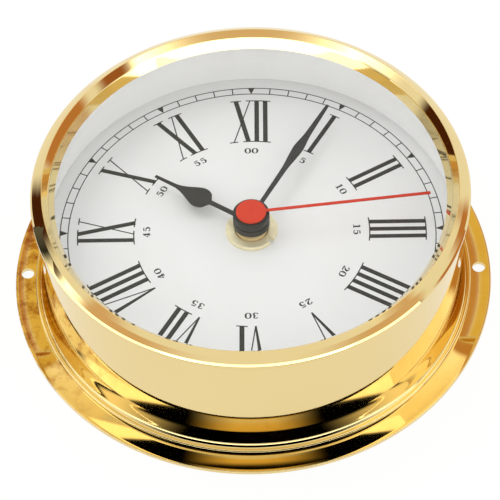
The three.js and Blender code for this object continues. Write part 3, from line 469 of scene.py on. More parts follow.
# A corner's third number is its rounding.
case_outline = soften([(BORE_RADIUS, 1.0), (BORE_RADIUS, 0, 0.15), (FLANGE_RADIUS, 0, 0.3),
                       (FLANGE_RADIUS, FLANGE_TOP + 0.08, 0.16), (LAND_OUTER, FLANGE_TOP + 0.05)])[:-1]
for step in range(13):
    radius = LAND_OUTER - (LAND_OUTER - LAND_INNER) * step / 12
    case_outline.append((radius, LAND_LOW + (radius - LAND_TURN) ** 2 / (2 * LAND_BEND)))
for step in range(1, 21):
    angle = math.radians(BEAD_END) * step / 20
    across, upright = (abs(part) ** (2 / BEAD_SQUARENESS) for part in (math.cos(angle), math.sin(angle)))
    case_outline.append((BEAD_MIDDLE + math.copysign(BEAD_HALF * across, math.cos(angle)),
                         LAND_LOW + (FLANGE_TOP + BEAD_HEIGHT - LAND_LOW) * upright))
case_outline += arc(*COVE, 270, 180, 30)
case_outline += soften([(WALL_RADIUS, WALL_FOOT), (WALL_RADIUS, RIM_HEIGHT, 0.2),
                        (BORE_RADIUS, RIM_HEIGHT, 0.2), (BORE_RADIUS, WALL_FOOT)])[1:-1]
brass_case = turned("brass_case", case_outline, polished_brass, slot="polished_brass", replaces=["case_body"])
for side in (-1, 1):
    combine(brass_case, pin_tool(HOLE_RADIUS, -1, FLANGE_TOP + 1, side * HOLE_CIRCLE, 0), "DIFFERENCE")
print("case faces", len(brass_case.data.polygons))

# %% [markdown]
# ## Lugs
# Three brass blocks are brazed inside the case and carry the back cover. Each is cut as a block that points
# along X, where its screw hole is easy to place, and is then turned to its angle.

# %% Lugs
LUG_ANGLES = (90, 210, 330)
LUG_DEPTH = 6.0
LUG_HALF = 3.5
LUG_BITE = 0.1         # how far a lug reaches into the wall
COVER_TOP = 2.4
DIAL_BACK = 15.7
SCREW_CIRCLE = 48.4
SCREW_BORE = 1.4
BORE_TOP = 8.3
case_lugs = None
for angle in LUG_ANGLES:
    lug = box_tool(BORE_RADIUS - LUG_DEPTH, BORE_RADIUS + LUG_BITE, LUG_HALF, COVER_TOP, DIAL_BACK)
    combine(lug, pin_tool(SCREW_BORE, COVER_TOP - 1, BORE_TOP, SCREW_CIRCLE, 0, SMALL // 2), "DIFFERENCE")
    lug.data.transform(Matrix.Rotation(math.radians(angle), 4, "Z"))
    if case_lugs:
        combine(case_lugs, lug, "UNION")
    else:
        case_lugs = lug
case_lugs.name = "case_lugs"
case_lugs.data.materials.clear()
case_lugs.data.materials.append(satin_brass)
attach(case_lugs, "root")
print("lugs", len(LUG_ANGLES))

# %% [markdown]
# ## The bezel
# A turned ring that holds the glass. Its outside falls from a crisp crest in a swelled cone to a crisp outer
# edge, and its inside is a steep swelled slope down to the glass. A wide rounding of one corner makes each
# swell, because a straight cone would mirror one even tone.

# %% Brass bezel
OPENING_RADIUS = 47.35
BEZEL_RADIUS = 52.95
SEAT_RADIUS = 50.4
LOOSE_RADIUS = 51.1
GLASS_TOP = 32.2
GLASS_BOTTOM = 30.2
SKIRT_TOP = 34.22
CHAMFER_END = (52.515, 34.72)
OUTER_SWELL = (51.4, 35.6)
CREST = (50.08, 36.5)
INNER_SWELL = (48.6, 34.65)
CRISP = 0.12           # mm, rounding of the edges
WIDE = 3.0             # mm, rounding of the swells
bezel_outline = soften([
    (SEAT_RADIUS, GLASS_BOTTOM), (LOOSE_RADIUS, GLASS_BOTTOM), (LOOSE_RADIUS, RIM_HEIGHT),
    (BEZEL_RADIUS, RIM_HEIGHT, 0.25), (BEZEL_RADIUS, SKIRT_TOP, CRISP), (*CHAMFER_END, CRISP),
    (*OUTER_SWELL, WIDE), (*CREST, CRISP), (*INNER_SWELL, WIDE), (OPENING_RADIUS, GLASS_TOP),
    (SEAT_RADIUS, GLASS_TOP)], steps=6)
turned("brass_bezel", bezel_outline, polished_brass, slot="polished_brass", replaces=["bezel"])
print("bezel height", round(max(z for r, z in bezel_outline), 2))

# %% [markdown]
# ## Glass, seal, inner wall and dial
# These are plain discs and rings with softened edges, so one table lists them. The dial has a hole for the
# movement's bush.

# %% Glass, seal, inner wall and dial
DIAL_FACE = 16.5
GASKET_BOTTOM = 29.6
BUSH_RADIUS = 4.0
BUSH_CLEARANCE = 0.3
PANE_RADIUS = 50.1
SEAL_BORE = 49.4
INNER_WALL_BORE = 50.7


def slab(inner, outer, low, high, under, over):
    """Outline of a flat ring, or of a disc where inner is 0, with edges rounded by under and over in mm."""
    corners = [(inner, low, under), (outer, low, under), (outer, high, over), (inner, high, over)]
    return soften([corner if corner[0] and corner[2] else corner[:2] for corner in corners])


# Each plate: outline, material, slot and the node that it stands for.
PLATES = {
    "front_glass": (slab(0, PANE_RADIUS, GLASS_BOTTOM, GLASS_TOP, 0.15, 0.15),
                    clear_glass, "clear_glass", "glass"),
    "glass_seal": (slab(SEAL_BORE, LOOSE_RADIUS, GASKET_BOTTOM, GLASS_BOTTOM, 0.15, 0.1),
                   seal_rubber, "white_rubber", "glass_gasket"),
    "inner_wall": (slab(INNER_WALL_BORE, LOOSE_RADIUS, DIAL_FACE, GASKET_BOTTOM, 0.1, 0.1),
                   wall_enamel, "white_paint", "rehaut_ring"),
    "dial_plate": (slab(BUSH_RADIUS + BUSH_CLEARANCE, LOOSE_RADIUS, DIAL_BACK, DIAL_FACE, 0, 0.08),
                   dial_white, "dial_paint", "dial"),
}
for name, (outline, material, slot, node) in PLATES.items():
    turned(name, outline, material, slot=slot, replaces=[node])
print("plates", list(PLATES))

# %% [markdown]
# ## Print
# The dial is screen-printed. A picture could carry the print, but ink is a real film, so each mark is a thin
# closed mesh on the dial, sharp at any distance: a ribbon along a line, drawn at 12 o'clock and turned.

# %% Flat ribbons for print
PRINT_LOW = DIAL_FACE - 0.01
PRINT_HIGH = DIAL_FACE + 0.02


def ribbon(line, widths, closed=False):
    """Points and faces of a closed film along a flat line, with one width or a list for its points."""
    count = len(line)
    if not isinstance(widths, list):
        widths = [widths] * count
    left, right = [], []
    for i, (x, y) in enumerate(line):
        before = line[i - 1] if closed or i else line[i]
        after = line[(i + 1) % count] if closed or i < count - 1 else line[i]
        across = Vector((before[1] - after[1], after[0] - before[0])).normalized() * widths[i] / 2
        left.append((x + across.x, y + across.y))
        right.append((x - across.x, y - across.y))
    points = [(x, y, z) for z in (PRINT_LOW, PRINT_HIGH) for side in (left, right) for x, y in side]
    faces = []
    top = 2 * count
    for i in range(count if closed else count - 1):
        j = (i + 1) % count
        l0, l1, r0, r1 = i, j, count + i, count + j
        faces += [(l0, l1, r1, r0), (top + l0, top + l1, top + r1, top + r0),
                  (l0, l1, top + l1, top + l0), (r0, r1, top + r1, top + r0)]
    if not closed:
        faces += [(i, count + i, 3 * count + i, 2 * count + i) for i in (0, count - 1)]
    return points, faces


def gather(parts):
    """Several (points, faces) as one."""
    points, faces = [], []
    for more_points, more_faces in parts:
        start = len(points)
        points += more_points
        faces += [tuple(start + i for i in face) for face in more_faces]
    return points, faces


def on_dial(parts, clock_angle):
    """Turns parts drawn upright at 12 o'clock to their place round the dial, in degrees clockwise."""
    spin = Matrix.Rotation(-math.radians(clock_angle), 3, "Z")
    points, faces = parts
    return [tuple(spin @ Vector(p)) for p in points], faces


# %% [markdown]
# ## Printed minute track
# Two thin circles carry a tick for each minute and a solid triangle at every fifth. They are joined to one
# piece, so that no two films of ink overlap.

# %% Minute track
TRACK_OUTER = 47.44
TRACK_INNER = 45.45
TRACK_LINE = 0.24
TICK_LINE = 0.28
TRIANGLE_TIP = 0.06
TRIANGLE_BASE = 1.7


def circle_line(radius):
    angles = [2 * math.pi * i / FINE for i in range(FINE)]
    return ribbon([(radius * math.cos(a), radius * math.sin(a)) for a in angles], TRACK_LINE, closed=True)


marks = []
for minute in range(60):
    widths = TICK_LINE if minute % 5 else [TRIANGLE_TIP, TRIANGLE_BASE]
    marks.append(on_dial(ribbon([(0, TRACK_INNER), (0, TRACK_OUTER)], widths), 6 * minute))
minute_track = make_piece("minute_track", *gather(marks), ink, slot="black_paint")
circles = make_piece("tool", *gather([circle_line(TRACK_OUTER), circle_line(TRACK_INNER)]), ink, body=None)
combine(minute_track, circles, "UNION")
print("track marks", len(marks), "faces", len(minute_track.data.polygons))

# %% [markdown]
# ## Roman hours
# The numerals stand with their tops outward. Bars are straight, and the hairline serifs follow two circles,
# so neighbouring bars share one line. Four is IIII, as on most clocks.
# Each numeral is laid out upright in millimetres from its own middle line, and then turned to its hour.

# %% Roman hours
OUTER_CIRCLE = 43.2
INNER_CIRCLE = 29.0
BAR_WIDTH = 1.18
THIN_WIDTH = 0.3
V_FOOT = 0.45          # width to which a V's thick stroke narrows at its foot
V_HOURS = (5, 6, 7, 8)
SERIF_LINE = 0.3
SERIF_STEPS = 12
SERIF_GAP = 0.1        # serifs closer than this are one line
BAR_REACH = 1.38       # of a serif past a bar's middle line
THIN_REACH = 1.05
BAR_INSET = 0.05       # how far a bar's ends stay inside the serifs
# Each numeral: bars as their middle lines, then strokes as (inner x, outer x, thick or thin).
ROMAN = {
    1: ([0.0], []),
    2: ([-1.2, 1.08], []),
    3: ([-2.3, 0.0, 2.28], []),
    4: ([-3.2, -0.95, 1.35, 3.65], []),
    5: ([], [(0.3, -1.55, "thick"), (0.3, 2.3, "thin")]),
    6: ([2.4], [(-0.9, -2.75, "thick"), (-0.9, 1.1, "thin")]),
    7: ([1.15, 3.35], [(-2.2, -4.05, "thick"), (-2.2, -0.2, "thin")]),
    8: ([0.1, 2.45, 4.75], [(-3.2, -5.0, "thick"), (-3.2, -1.2, "thin")]),
    9: ([-2.4], [(3.0, -0.35, "thick"), (-0.55, 3.7, "thin")]),
    10: ([], [(1.85, -1.5, "thick"), (-1.7, 2.45, "thin")]),
    11: ([2.45], [(0.35, -2.95, "thick"), (-3.25, 1.1, "thin")]),
    12: ([1.4, 3.6], [(-0.7, -4.05, "thick"), (-4.4, -0.35, "thin")]),
}


def height_at(circle, x):
    return math.sqrt(circle * circle - x * x)


def serif_spans(ends):
    """Merges the overhangs of neighbouring strokes, given as (middle, reach), into spans."""
    spans = []
    for middle, reach in sorted(ends):
        if spans and middle - reach <= spans[-1][1] + SERIF_GAP:
            spans[-1][1] = max(spans[-1][1], middle + reach)
        else:
            spans.append([middle - reach, middle + reach])
    return spans


def serif_arc(circle, span, inward):
    """A hairline along a circle round the dial's centre, between two distances from the middle line."""
    radius = circle - inward * SERIF_LINE / 2
    first, last = (math.asin(x / radius) for x in span)
    angles = [first + (last - first) * i / SERIF_STEPS for i in range(SERIF_STEPS + 1)]
    return ribbon([(radius * math.sin(a), radius * math.cos(a)) for a in angles], SERIF_LINE)


heavy, fine = [], []
for hour, (bars, strokes) in ROMAN.items():
    ends = {OUTER_CIRCLE: [], INNER_CIRCLE: []}
    for inner_x, outer_x, weight in [(x, x, "thick") for x in bars] + strokes:
        thick = weight == "thick"
        in_v = hour in V_HOURS and inner_x != outer_x
        width, reach = (BAR_WIDTH, BAR_REACH) if thick else (THIN_WIDTH, THIN_REACH)
        line = [(inner_x, height_at(INNER_CIRCLE, inner_x) + BAR_INSET),
                (outer_x, height_at(OUTER_CIRCLE, outer_x) - BAR_INSET)]
        widths = [V_FOOT if in_v and thick else width, width]
        (heavy if thick else fine).append(on_dial(ribbon(line, widths), 30 * hour))
        ends[OUTER_CIRCLE].append((outer_x, reach))
        if not in_v:
            ends[INNER_CIRCLE].append((inner_x, reach))
    for circle, inward in ((OUTER_CIRCLE, 1), (INNER_CIRCLE, -1)):
        for span in serif_spans(ends[circle]):
            fine.append(on_dial(serif_arc(circle, span, inward), 30 * hour))
hour_numerals = make_piece("hour_numerals", *gather(heavy), ink, slot="black_paint")
combine(hour_numerals, make_piece("tool", *gather(fine), ink, body=None), "UNION", crossing=True)
print("strokes", len(heavy) + len(fine), "faces", len(hour_numerals.data.polygons))

# %% [markdown]
# ## Minute numbers
# Small bold numbers from 00 to 55 stand inside the hours. Each digit is a few pen strokes that swell and
# thin, drawn in a box one unit high, so that the shapes are the builder's own and no font file is needed.

# %% Minute numbers
DIGIT_HEIGHT = 1.75
DIGIT_PITCH = 1.82
NUMBER_RADIUS = 25.98  # to the middle of the digits
# Each digit: its strokes as (x, y, width) points. The only stroke of 0 is closed.
DIGITS = {
    "0": [[(0.0, 0.95, 0.09), (-0.27, 0.82, 0.2), (-0.34, 0.5, 0.28), (-0.27, 0.18, 0.2), (0.0, 0.05, 0.09),
           (0.27, 0.18, 0.2), (0.34, 0.5, 0.28), (0.27, 0.82, 0.2)]],
    "1": [[(0.02, 0.0, 0.27), (0.02, 1.0, 0.27)], [(-0.26, 0.82, 0.1), (0.0, 0.94, 0.16)],
          [(-0.3, 0.045, 0.09), (0.34, 0.045, 0.09)]],
    "2": [[(-0.27, 0.7, 0.2), (-0.22, 0.86, 0.16), (0.0, 0.95, 0.1), (0.22, 0.84, 0.22), (0.27, 0.66, 0.27),
           (0.12, 0.44, 0.2), (-0.14, 0.24, 0.1), (-0.33, 0.06, 0.1)],
          [(-0.36, 0.08, 0.16), (0.2, 0.08, 0.17), (0.36, 0.12, 0.12), (0.4, 0.28, 0.06)]],
    "3": [[(-0.25, 0.76, 0.18), (-0.14, 0.91, 0.12), (0.04, 0.95, 0.09), (0.21, 0.84, 0.22),
           (0.21, 0.66, 0.24), (0.06, 0.54, 0.1), (-0.08, 0.52, 0.08)],
          [(0.0, 0.53, 0.08), (0.2, 0.45, 0.18), (0.28, 0.26, 0.28), (0.17, 0.09, 0.18), (-0.02, 0.04, 0.09),
           (-0.2, 0.1, 0.14), (-0.29, 0.24, 0.2)]],
    "4": [[(0.1, 0.98, 0.09), (-0.36, 0.3, 0.09)], [(-0.4, 0.29, 0.1), (0.4, 0.29, 0.1)],
          [(0.12, 0.0, 0.26), (0.12, 0.99, 0.26)], [(-0.14, 0.045, 0.09), (0.38, 0.045, 0.09)]],
    "5": [[(-0.24, 0.92, 0.15), (0.28, 0.92, 0.15)], [(-0.23, 0.97, 0.09), (-0.27, 0.5, 0.08)],
          [(-0.27, 0.54, 0.08), (-0.08, 0.62, 0.1), (0.16, 0.57, 0.2), (0.28, 0.35, 0.28), (0.2, 0.12, 0.2),
           (0.0, 0.04, 0.1), (-0.2, 0.09, 0.14), (-0.29, 0.22, 0.2)]],
}


def flowing(stroke, closed=False, steps=4):
    """A smooth line through a stroke's points, each of which may hold a width too, in small steps."""
    count = len(stroke)
    if count == 2:
        return stroke
    made = []
    for i in range(count if closed else count - 1):
        near = [Vector(stroke[(i + k) % count] if closed else stroke[min(max(i + k, 0), count - 1)])
                for k in (-1, 0, 1, 2)]
        for step in range(steps):
            t = step / steps
            made.append(0.5 * (2 * near[1] + (near[2] - near[0]) * t
                               + (2 * near[0] - 5 * near[1] + 4 * near[2] - near[3]) * t ** 2
                               + (3 * near[1] - near[0] - 3 * near[2] + near[3]) * t ** 3))
    return made if closed else made + [Vector(stroke[-1])]


first_strokes, other_strokes = [], []
for minute in range(0, 60, 5):
    number = str(minute) if minute else "00"
    for place_in_number, digit in enumerate(number):
        shift = (place_in_number - (len(number) - 1) / 2) * DIGIT_PITCH
        closed = digit == "0"
        for index, stroke in enumerate(DIGITS[digit]):
            path = flowing(stroke, closed)
            line = [(shift + p[0] * DIGIT_HEIGHT, NUMBER_RADIUS + (p[1] - 0.5) * DIGIT_HEIGHT) for p in path]
            film = ribbon(line, [p[2] * DIGIT_HEIGHT for p in path], closed)
            (other_strokes if index else first_strokes).append(on_dial(film, 6 * minute))
minute_numbers = make_piece("minute_numbers", *gather(first_strokes), ink, slot="black_paint")
combine(minute_numbers, make_piece("tool", *gather(other_strokes), ink, body=None), "UNION", crossing=True)
print("number faces", len(minute_numbers.data.polygons))

# %% [markdown]
# ## Nut and bush
# The movement's threaded bush comes through the dial, and a slotted brass nut holds it.
# The thread is cut as rings, because a helix of the same pitch looks no different at this size.

# %% Slotted nut and threaded bush
NUT_RADIUS = 6.4
NUT_BORE = 4.15
NUT_TOP = 17.5
NUT_CHAMFER = 0.3
NUT_SLOT_ANGLE = -38
NUT_SLOT_DEPTH = 1.5
NUT_SLOT_HALF = 0.65
BUSH_TOP = 18.9
BUSH_BORE = 2.9
BUSH_CHAMFER = 0.35
PLATE_TOP = 14.0
FOOT_RADIUS = 6.0
FOOT_LOW = 13.3
THREAD_LOW = 14.3
THREAD_TURNS = 8
THREAD_PITCH = 0.5
THREAD_DEPTH = 0.22
nut_outline = soften([(NUT_BORE, DIAL_FACE, 0.1), (NUT_RADIUS, DIAL_FACE, 0.1),
                      (NUT_RADIUS, NUT_TOP - NUT_CHAMFER, 0.05), (NUT_RADIUS - NUT_CHAMFER, NUT_TOP, 0.08),
                      (NUT_BORE, NUT_TOP, 0.15)])
slotted_nut = turned("slotted_nut", nut_outline, nut_brass, SMALL, slot="satin_brass", replaces=["dial_nut"])
for side in (0, 180):
    combine(slotted_nut, box_tool(NUT_RADIUS - NUT_SLOT_DEPTH, NUT_RADIUS + 1, NUT_SLOT_HALF, DIAL_FACE - 1,
                                  NUT_TOP + 1, NUT_SLOT_ANGLE + side), "DIFFERENCE")
bush_outline = [(BUSH_BORE, FOOT_LOW), (FOOT_RADIUS, FOOT_LOW), (FOOT_RADIUS, PLATE_TOP),
                (BUSH_RADIUS, PLATE_TOP)]
for turn in range(THREAD_TURNS):
    height = THREAD_LOW + turn * THREAD_PITCH
    bush_outline += [(BUSH_RADIUS, height), (BUSH_RADIUS - THREAD_DEPTH, height + THREAD_PITCH / 2)]
bush_outline += [(BUSH_RADIUS, BUSH_TOP - BUSH_CHAMFER), (BUSH_RADIUS - BUSH_CHAMFER, BUSH_TOP),
                 (BUSH_BORE, BUSH_TOP)]
turned("bush_thread", bush_outline, satin_brass, SMALL, slot="satin_brass", replaces=["threaded_bush"])
print("thread turns", THREAD_TURNS)

# %% [markdown]
# ## Hands
# Each hand is a stamped blade on a turned hub. A blade's outline is half of it, as distances along and
# across, mirrored and turned to its hour. Its edges are slightly rounded by the paint.

# %% Hand helpers
EDGE_ROUND = 0.09
HUB_RADIUS = 4.5
HUB_HEIGHT = 1.9
HUB_CHAMFER = 0.15


def hub(bore, low):
    """Outline of a hub from its bore and the height of its lower end."""
    high = low + HUB_HEIGHT
    return soften([(bore, low), (HUB_RADIUS - HUB_CHAMFER, low), (HUB_RADIUS, low + HUB_CHAMFER),
                   (HUB_RADIUS, high, 0.14), (bore, high)])


def blade(half_outline, low, high):
    """Points and faces of a flat blade along +Y, from (distance, half width) points."""
    outer = [(w, y) for y, w in half_outline]
    inner = [(w - EDGE_ROUND, y) for w, y in outer]
    inner[-1] = (inner[-1][0], inner[-1][1] - EDGE_ROUND)
    rim, inset = (half + [(-w, y) for w, y in reversed(half)] for half in (outer, inner))
    return stacked([(low, inset), (low + EDGE_ROUND, rim), (high - EDGE_ROUND, rim), (high, inset)])


def hand(node, hub_outline, half_outline, low, high, angle, material):
    """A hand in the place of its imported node, on the body of the same name that turns it."""
    piece = turned(node + "_blade", hub_outline, material, sides=SMALL, body=None)
    points, faces = on_dial(blade(half_outline, low, high), angle)
    combine(piece, make_piece("tool", points, faces, material, body=None), "UNION")
    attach(piece, node)
    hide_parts(node)


# %% [markdown]
# ## Hour, minute and second hand
# The hour hand swells to a spade and the minute hand to a leaf, and a smooth curve through a few stations
# draws each outline. The second hand is a straight needle under a red cap.

# %% Hour hand, minute hand and second hand
MINUTE_ANGLE = 28.4    # degrees clockwise from 12 o'clock
HOUR_ANGLE = 300 + MINUTE_ANGLE / 12
SECOND_ANGLE = 83.2
HOUR_BORE, HOUR_LOW = 2.75, 19.3
MINUTE_BORE, MINUTE_LOW = 1.75, 21.5
HAND_STEPS = 5         # of the curve between two stations
# Each station: distance from the centre and half width.
hour_line = flowing([
    (3.2, 0.6), (11.2, 0.6), (11.9, 0.62), (12.4, 1.25), (13.1, 2.35), (14.2, 2.92), (15.3, 3.02),
    (16.4, 2.75), (17.9, 2.05), (19.6, 1.25), (21.2, 0.7), (23.0, 0.46), (28.4, 0.36)], steps=HAND_STEPS)
minute_line = flowing([
    (2.2, 0.52), (6.0, 0.53), (12.7, 0.6), (18.0, 0.7), (21.7, 1.07), (24.5, 1.29), (26.0, 1.24), (29.5, 0.8),
    (32.6, 0.66), (36.5, 0.55), (41.3, 0.36)], steps=HAND_STEPS)
second_line = [(1.9, 0.42), (44.4, 0.42)]
hand("hour_hand", hub(HOUR_BORE, HOUR_LOW), hour_line, 19.65, 20.15, HOUR_ANGLE, hand_paint)
hand("minute_hand", hub(MINUTE_BORE, MINUTE_LOW), minute_line, 21.6, 22.1, MINUTE_ANGLE, hand_paint)
CAP_RADIUS = 3.7
CAP_LOW = 23.7
CAP_TOP = 24.2
POST_RADIUS = 1.2
POST_BORE = 0.65
POST_LOW = 22.9
DIMPLE_RADIUS = 0.9
NEEDLE_THICKNESS = 0.35
# The small numbers round the cap's edges and the dimple in its middle.
cap_outline = [
    (POST_BORE, POST_LOW), (POST_RADIUS, POST_LOW), (POST_RADIUS, CAP_LOW), (CAP_RADIUS - 0.08, CAP_LOW),
    (CAP_RADIUS, CAP_LOW + 0.08), (CAP_RADIUS, CAP_TOP - 0.12), (CAP_RADIUS - 0.04, CAP_TOP - 0.04),
    (CAP_RADIUS - 0.12, CAP_TOP), (DIMPLE_RADIUS + 0.08, CAP_TOP), (DIMPLE_RADIUS, CAP_TOP - 0.03),
    (DIMPLE_RADIUS / 2, CAP_TOP - 0.2), (0, CAP_TOP - 0.25), (0, CAP_LOW + 0.02), (POST_BORE, CAP_LOW + 0.02)]
hand("second_hand", cap_outline, second_line, CAP_LOW, CAP_LOW + NEEDLE_THICKNESS, SECOND_ANGLE, red_paint)
print("hour hand at", round(HOUR_ANGLE, 1), "minute hand at", MINUTE_ANGLE, "second hand at", SECOND_ANGLE)

# %% [markdown]
# ## The back
# From behind, the clock shows a black cover with a window for the movement, three slotted screws, the cell in
# its bay and the setting knob. They are turned and cut like the front, with the same softened edges.

# %% Back cover and screws
COVER_LOW = 0.6
COVER_WINDOW = 28.5
CUT_LOW, CUT_HIGH = -1, 4     # mm, below and above the cover, for cuts right through it
HEAD_RADIUS = 1.9
HEAD_CLEARANCE = 0.3
HEAD_SEAT = 1.5
SHANK_RADIUS = 1.1
SCREW_END = 8.0
SCREW_CHAMFER = 0.3
DRIVER_HALF = 0.3             # half width of the slot for the screwdriver
DRIVER_DEPTH = 0.45
DRIVER_REACH = 3.0
cover = turned("back_plate", slab(0, LOOSE_RADIUS, COVER_LOW, COVER_TOP, 0.2, 0.2), cover_paint,
               slot="black_plastic", replaces=["back_cover"])
combine(cover, box_tool(-COVER_WINDOW, COVER_WINDOW, COVER_WINDOW, CUT_LOW, CUT_HIGH), "DIFFERENCE")
screw_outline = soften([
    (0, COVER_LOW), (HEAD_RADIUS, COVER_LOW, 0.25), (HEAD_RADIUS, HEAD_SEAT, 0.08), (SHANK_RADIUS, HEAD_SEAT),
    (SHANK_RADIUS, SCREW_END - SCREW_CHAMFER), (SHANK_RADIUS - SCREW_CHAMFER, SCREW_END), (0, SCREW_END)])
for number, angle in enumerate(LUG_ANGLES, 1):
    x, y = SCREW_CIRCLE * math.cos(math.radians(angle)), SCREW_CIRCLE * math.sin(math.radians(angle))
    combine(cover, pin_tool(HEAD_RADIUS + HEAD_CLEARANCE, CUT_LOW, HEAD_SEAT, x, y), "DIFFERENCE")
    combine(cover, pin_tool(SCREW_BORE, 1, CUT_HIGH, x, y), "DIFFERENCE")
    screw = turned(f"slotted_screw_{number}", screw_outline, nickel_steel, SMALL, x, y, slot="steel",
                   replaces=[f"cover_screw_{number}"])
    driver = box_tool(-DRIVER_REACH, DRIVER_REACH, DRIVER_HALF, 0, COVER_LOW + DRIVER_DEPTH, angle, x, y)
    combine(screw, driver, "DIFFERENCE")
print("cover faces", len(cover.data.polygons))

# %% [markdown]
# ## AA cell
# A steel can in a printed foil jacket, with a button at one end. It is turned upright like the rest and then
# laid along X, and the faces of its bare ends take the steel.

# %% AA cell
CELL_RADIUS = 7.1
CELL_Y = -19.4
CELL_Z = 7.4
JACKET_REACH = 24.0    # mm to each side of the middle
BARE_RADIUS = 6.45     # mm, of the bare ends inside the jacket's folded edge
cell_profile = soften([
    (0, -24.3), (4.6, -24.4, 0.1), (5.9, -24.2), (6.4, -24.4, 0.2),       # the flat end with its groove
    (CELL_RADIUS, -24.2, 0.2), (CELL_RADIUS, 24.2, 0.25),                 # the jacket
    (6.5, 24.5, 0.15), (6.2, 24.2), (3.4, 24.2),                          # the insulated shoulder
    (2.7, 24.5), (2.7, 25.8, 0.3), (0, 25.8)])                            # the button
points, faces = lathe(cell_profile, SMALL)
points = [(z, CELL_Y + y, CELL_Z - x) for x, y, z in points]
battery_cell = make_piece("battery_cell", points, faces, cell_jacket, slot="battery_jacket",
                          replaces=["battery"])
battery_cell.data.materials.append(nickel_steel)
for face in battery_cell.data.polygons:
    middle = face.center / MM
    if abs(middle.x) > JACKET_REACH and math.hypot(middle.y - CELL_Y, middle.z - CELL_Z) < BARE_RADIUS:
        face.material_index = 1
print("cell length", round(max(p[0] for p in points) - min(p[0] for p in points), 1), "mm")

# %% [markdown]
# ## Setting knob
# A moulded knob with soft ribs for a fingertip sets the hands from behind. Its ribs are a cosine added to the
# radius, which rounds them as a mould does and needs no cuts.

# %% Setting knob
KNOB_X, KNOB_Y = 15.192305, 14.313844   # mm, the knob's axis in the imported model
KNOB_RADIUS = 5.0
KNOB_RIBS = 24
RIB_POINTS = 6         # round each rib
RIB_HALF_DEPTH = 0.16
KNOB_LOW = 0.35
KNOB_TOP = 2.55
# Each level: its height and how far it is drawn in.
KNOB_LEVELS = [(KNOB_LOW, 0.5), (KNOB_LOW + 0.12, 0.2), (KNOB_LOW + 0.35, 0.0), (KNOB_TOP - 0.2, 0.0),
               (KNOB_TOP, 0.25)]
levels = []
for height, shrink in KNOB_LEVELS:
    loop = []
    for i in range(KNOB_RIBS * RIB_POINTS):
        angle = 2 * math.pi * i / (KNOB_RIBS * RIB_POINTS)
        radius = KNOB_RADIUS - shrink - RIB_HALF_DEPTH + RIB_HALF_DEPTH * math.cos(KNOB_RIBS * angle)
        loop.append((KNOB_X + radius * math.cos(angle), KNOB_Y + radius * math.sin(angle)))
    levels.append((height, loop))
make_piece("ribbed_knob", *stacked(levels), black_abs, body="setting_knob", slot="black_plastic",
           replaces=["setting_knob"])
print("knob ribs", KNOB_RIBS)

# %% [markdown]
# ## Finishes of the carried-over nodes
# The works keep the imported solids, whose toothed wheels are already in mesh. Each takes its slot's finish.

# %% Finishes for the works
NODE_FINISH = {
    black_abs: ["movement_front_shell", "movement_back_shell", "wheel_bridge", "ic_chip"],
    washer_rubber: ["rubber_washer"],
    nickel_steel: ["battery_contact_positive", "battery_contact_negative", "quartz_crystal", "stator",
                   "coil_core", "seconds_arbor"],
    solder_mask: ["circuit_board"],
    ivory_acetal: ["coil_bobbin", "rotor_pinion", "intermediate_wheel", "seconds_wheel", "third_wheel",
                   "centre_wheel", "minute_pipe", "minute_wheel", "hour_wheel", "setting_shaft"],
    copper_wire: ["coil_winding"],
    ferrite: ["rotor_magnet"],
}
for material, names in NODE_FINISH.items():
    for name in names:
        nodes[name].data.materials.clear()
        nodes[name].data.materials.append(material)
print("nodes finished", sum(len(names) for names in NODE_FINISH.values()))

# %% [markdown]
# ## Floor
# The clock lies on a white table that runs out of the picture. A matt plane alone would look grey, and a
# glowing one would take no shadow, so most of it is plain white and a small part is matt, for a soft shadow.

# %% White table
FLOOR_REACH = 1500.0
FLOOR_DROP = 0.05
FLOOR_PAPER = ("#ffffff", "#fafaf8")
FIBRE_SIZE = 1.5       # mm
FLOOR_SHADOW_SHARE = 0.1
floor_paper, tree = new_material("white table paper")
place = add(tree, "ShaderNodeTexCoord").outputs["Object"]
fibres = add(tree, "ShaderNodeTexNoise", {"Vector": place, "Scale": per_mm(FIBRE_SIZE), "Detail": 3.0})
matt = add(tree, "ShaderNodeBsdfDiffuse", {"Color": mix_colours(tree, fibres, *FLOOR_PAPER)})
white = add(tree, "ShaderNodeEmission", {"Color": WHITE, "Strength": 1.0})
seen = any_ray(tree, "Is Camera Ray", "Is Glossy Ray", "Is Transmission Ray")
share = add(tree, "ShaderNodeMath", {0: seen, 1: 1 - FLOOR_SHADOW_SHARE}, operation="MULTIPLY")
add(tree, "ShaderNodeOutputMaterial",
    {"Surface": add(tree, "ShaderNodeMixShader", {0: share, 1: matt, 2: white})})
corners = [(x * FLOOR_REACH, y * FLOOR_REACH, -FLOOR_DROP) for x, y in ((-1, -1), (1, -1), (1, 1), (-1, 1))]
table = make_piece("white_table", corners, [(0, 1, 2, 3)], floor_paper, body=None)

# %% [markdown]
# ## Studio light
# Polished metal shows its surroundings, so the studio is built for the brass. It is white all round,
# with a bright softbox and a white cloth low in front, a white strip on the left and two bright side windows.
# Tan, brown and copper cloths make the bezel's darker bands, and warm cloths behind tint its far side. They
# could be planes, but painted on the world by direction they need no place, and only reflections see them.

# %% World
STUDIO_LEVEL = 1.0
FILL_LEVEL = 0.86        # overhead, on matt surfaces
LOW_FILL_LEVEL = 1.5     # near the horizon, on matt surfaces
FILL_SPAN = (25.0, 60.0) # degrees of elevation, from the low level to the overhead one
CLOTH_FADE = 8.0         # degrees over which an edge fades
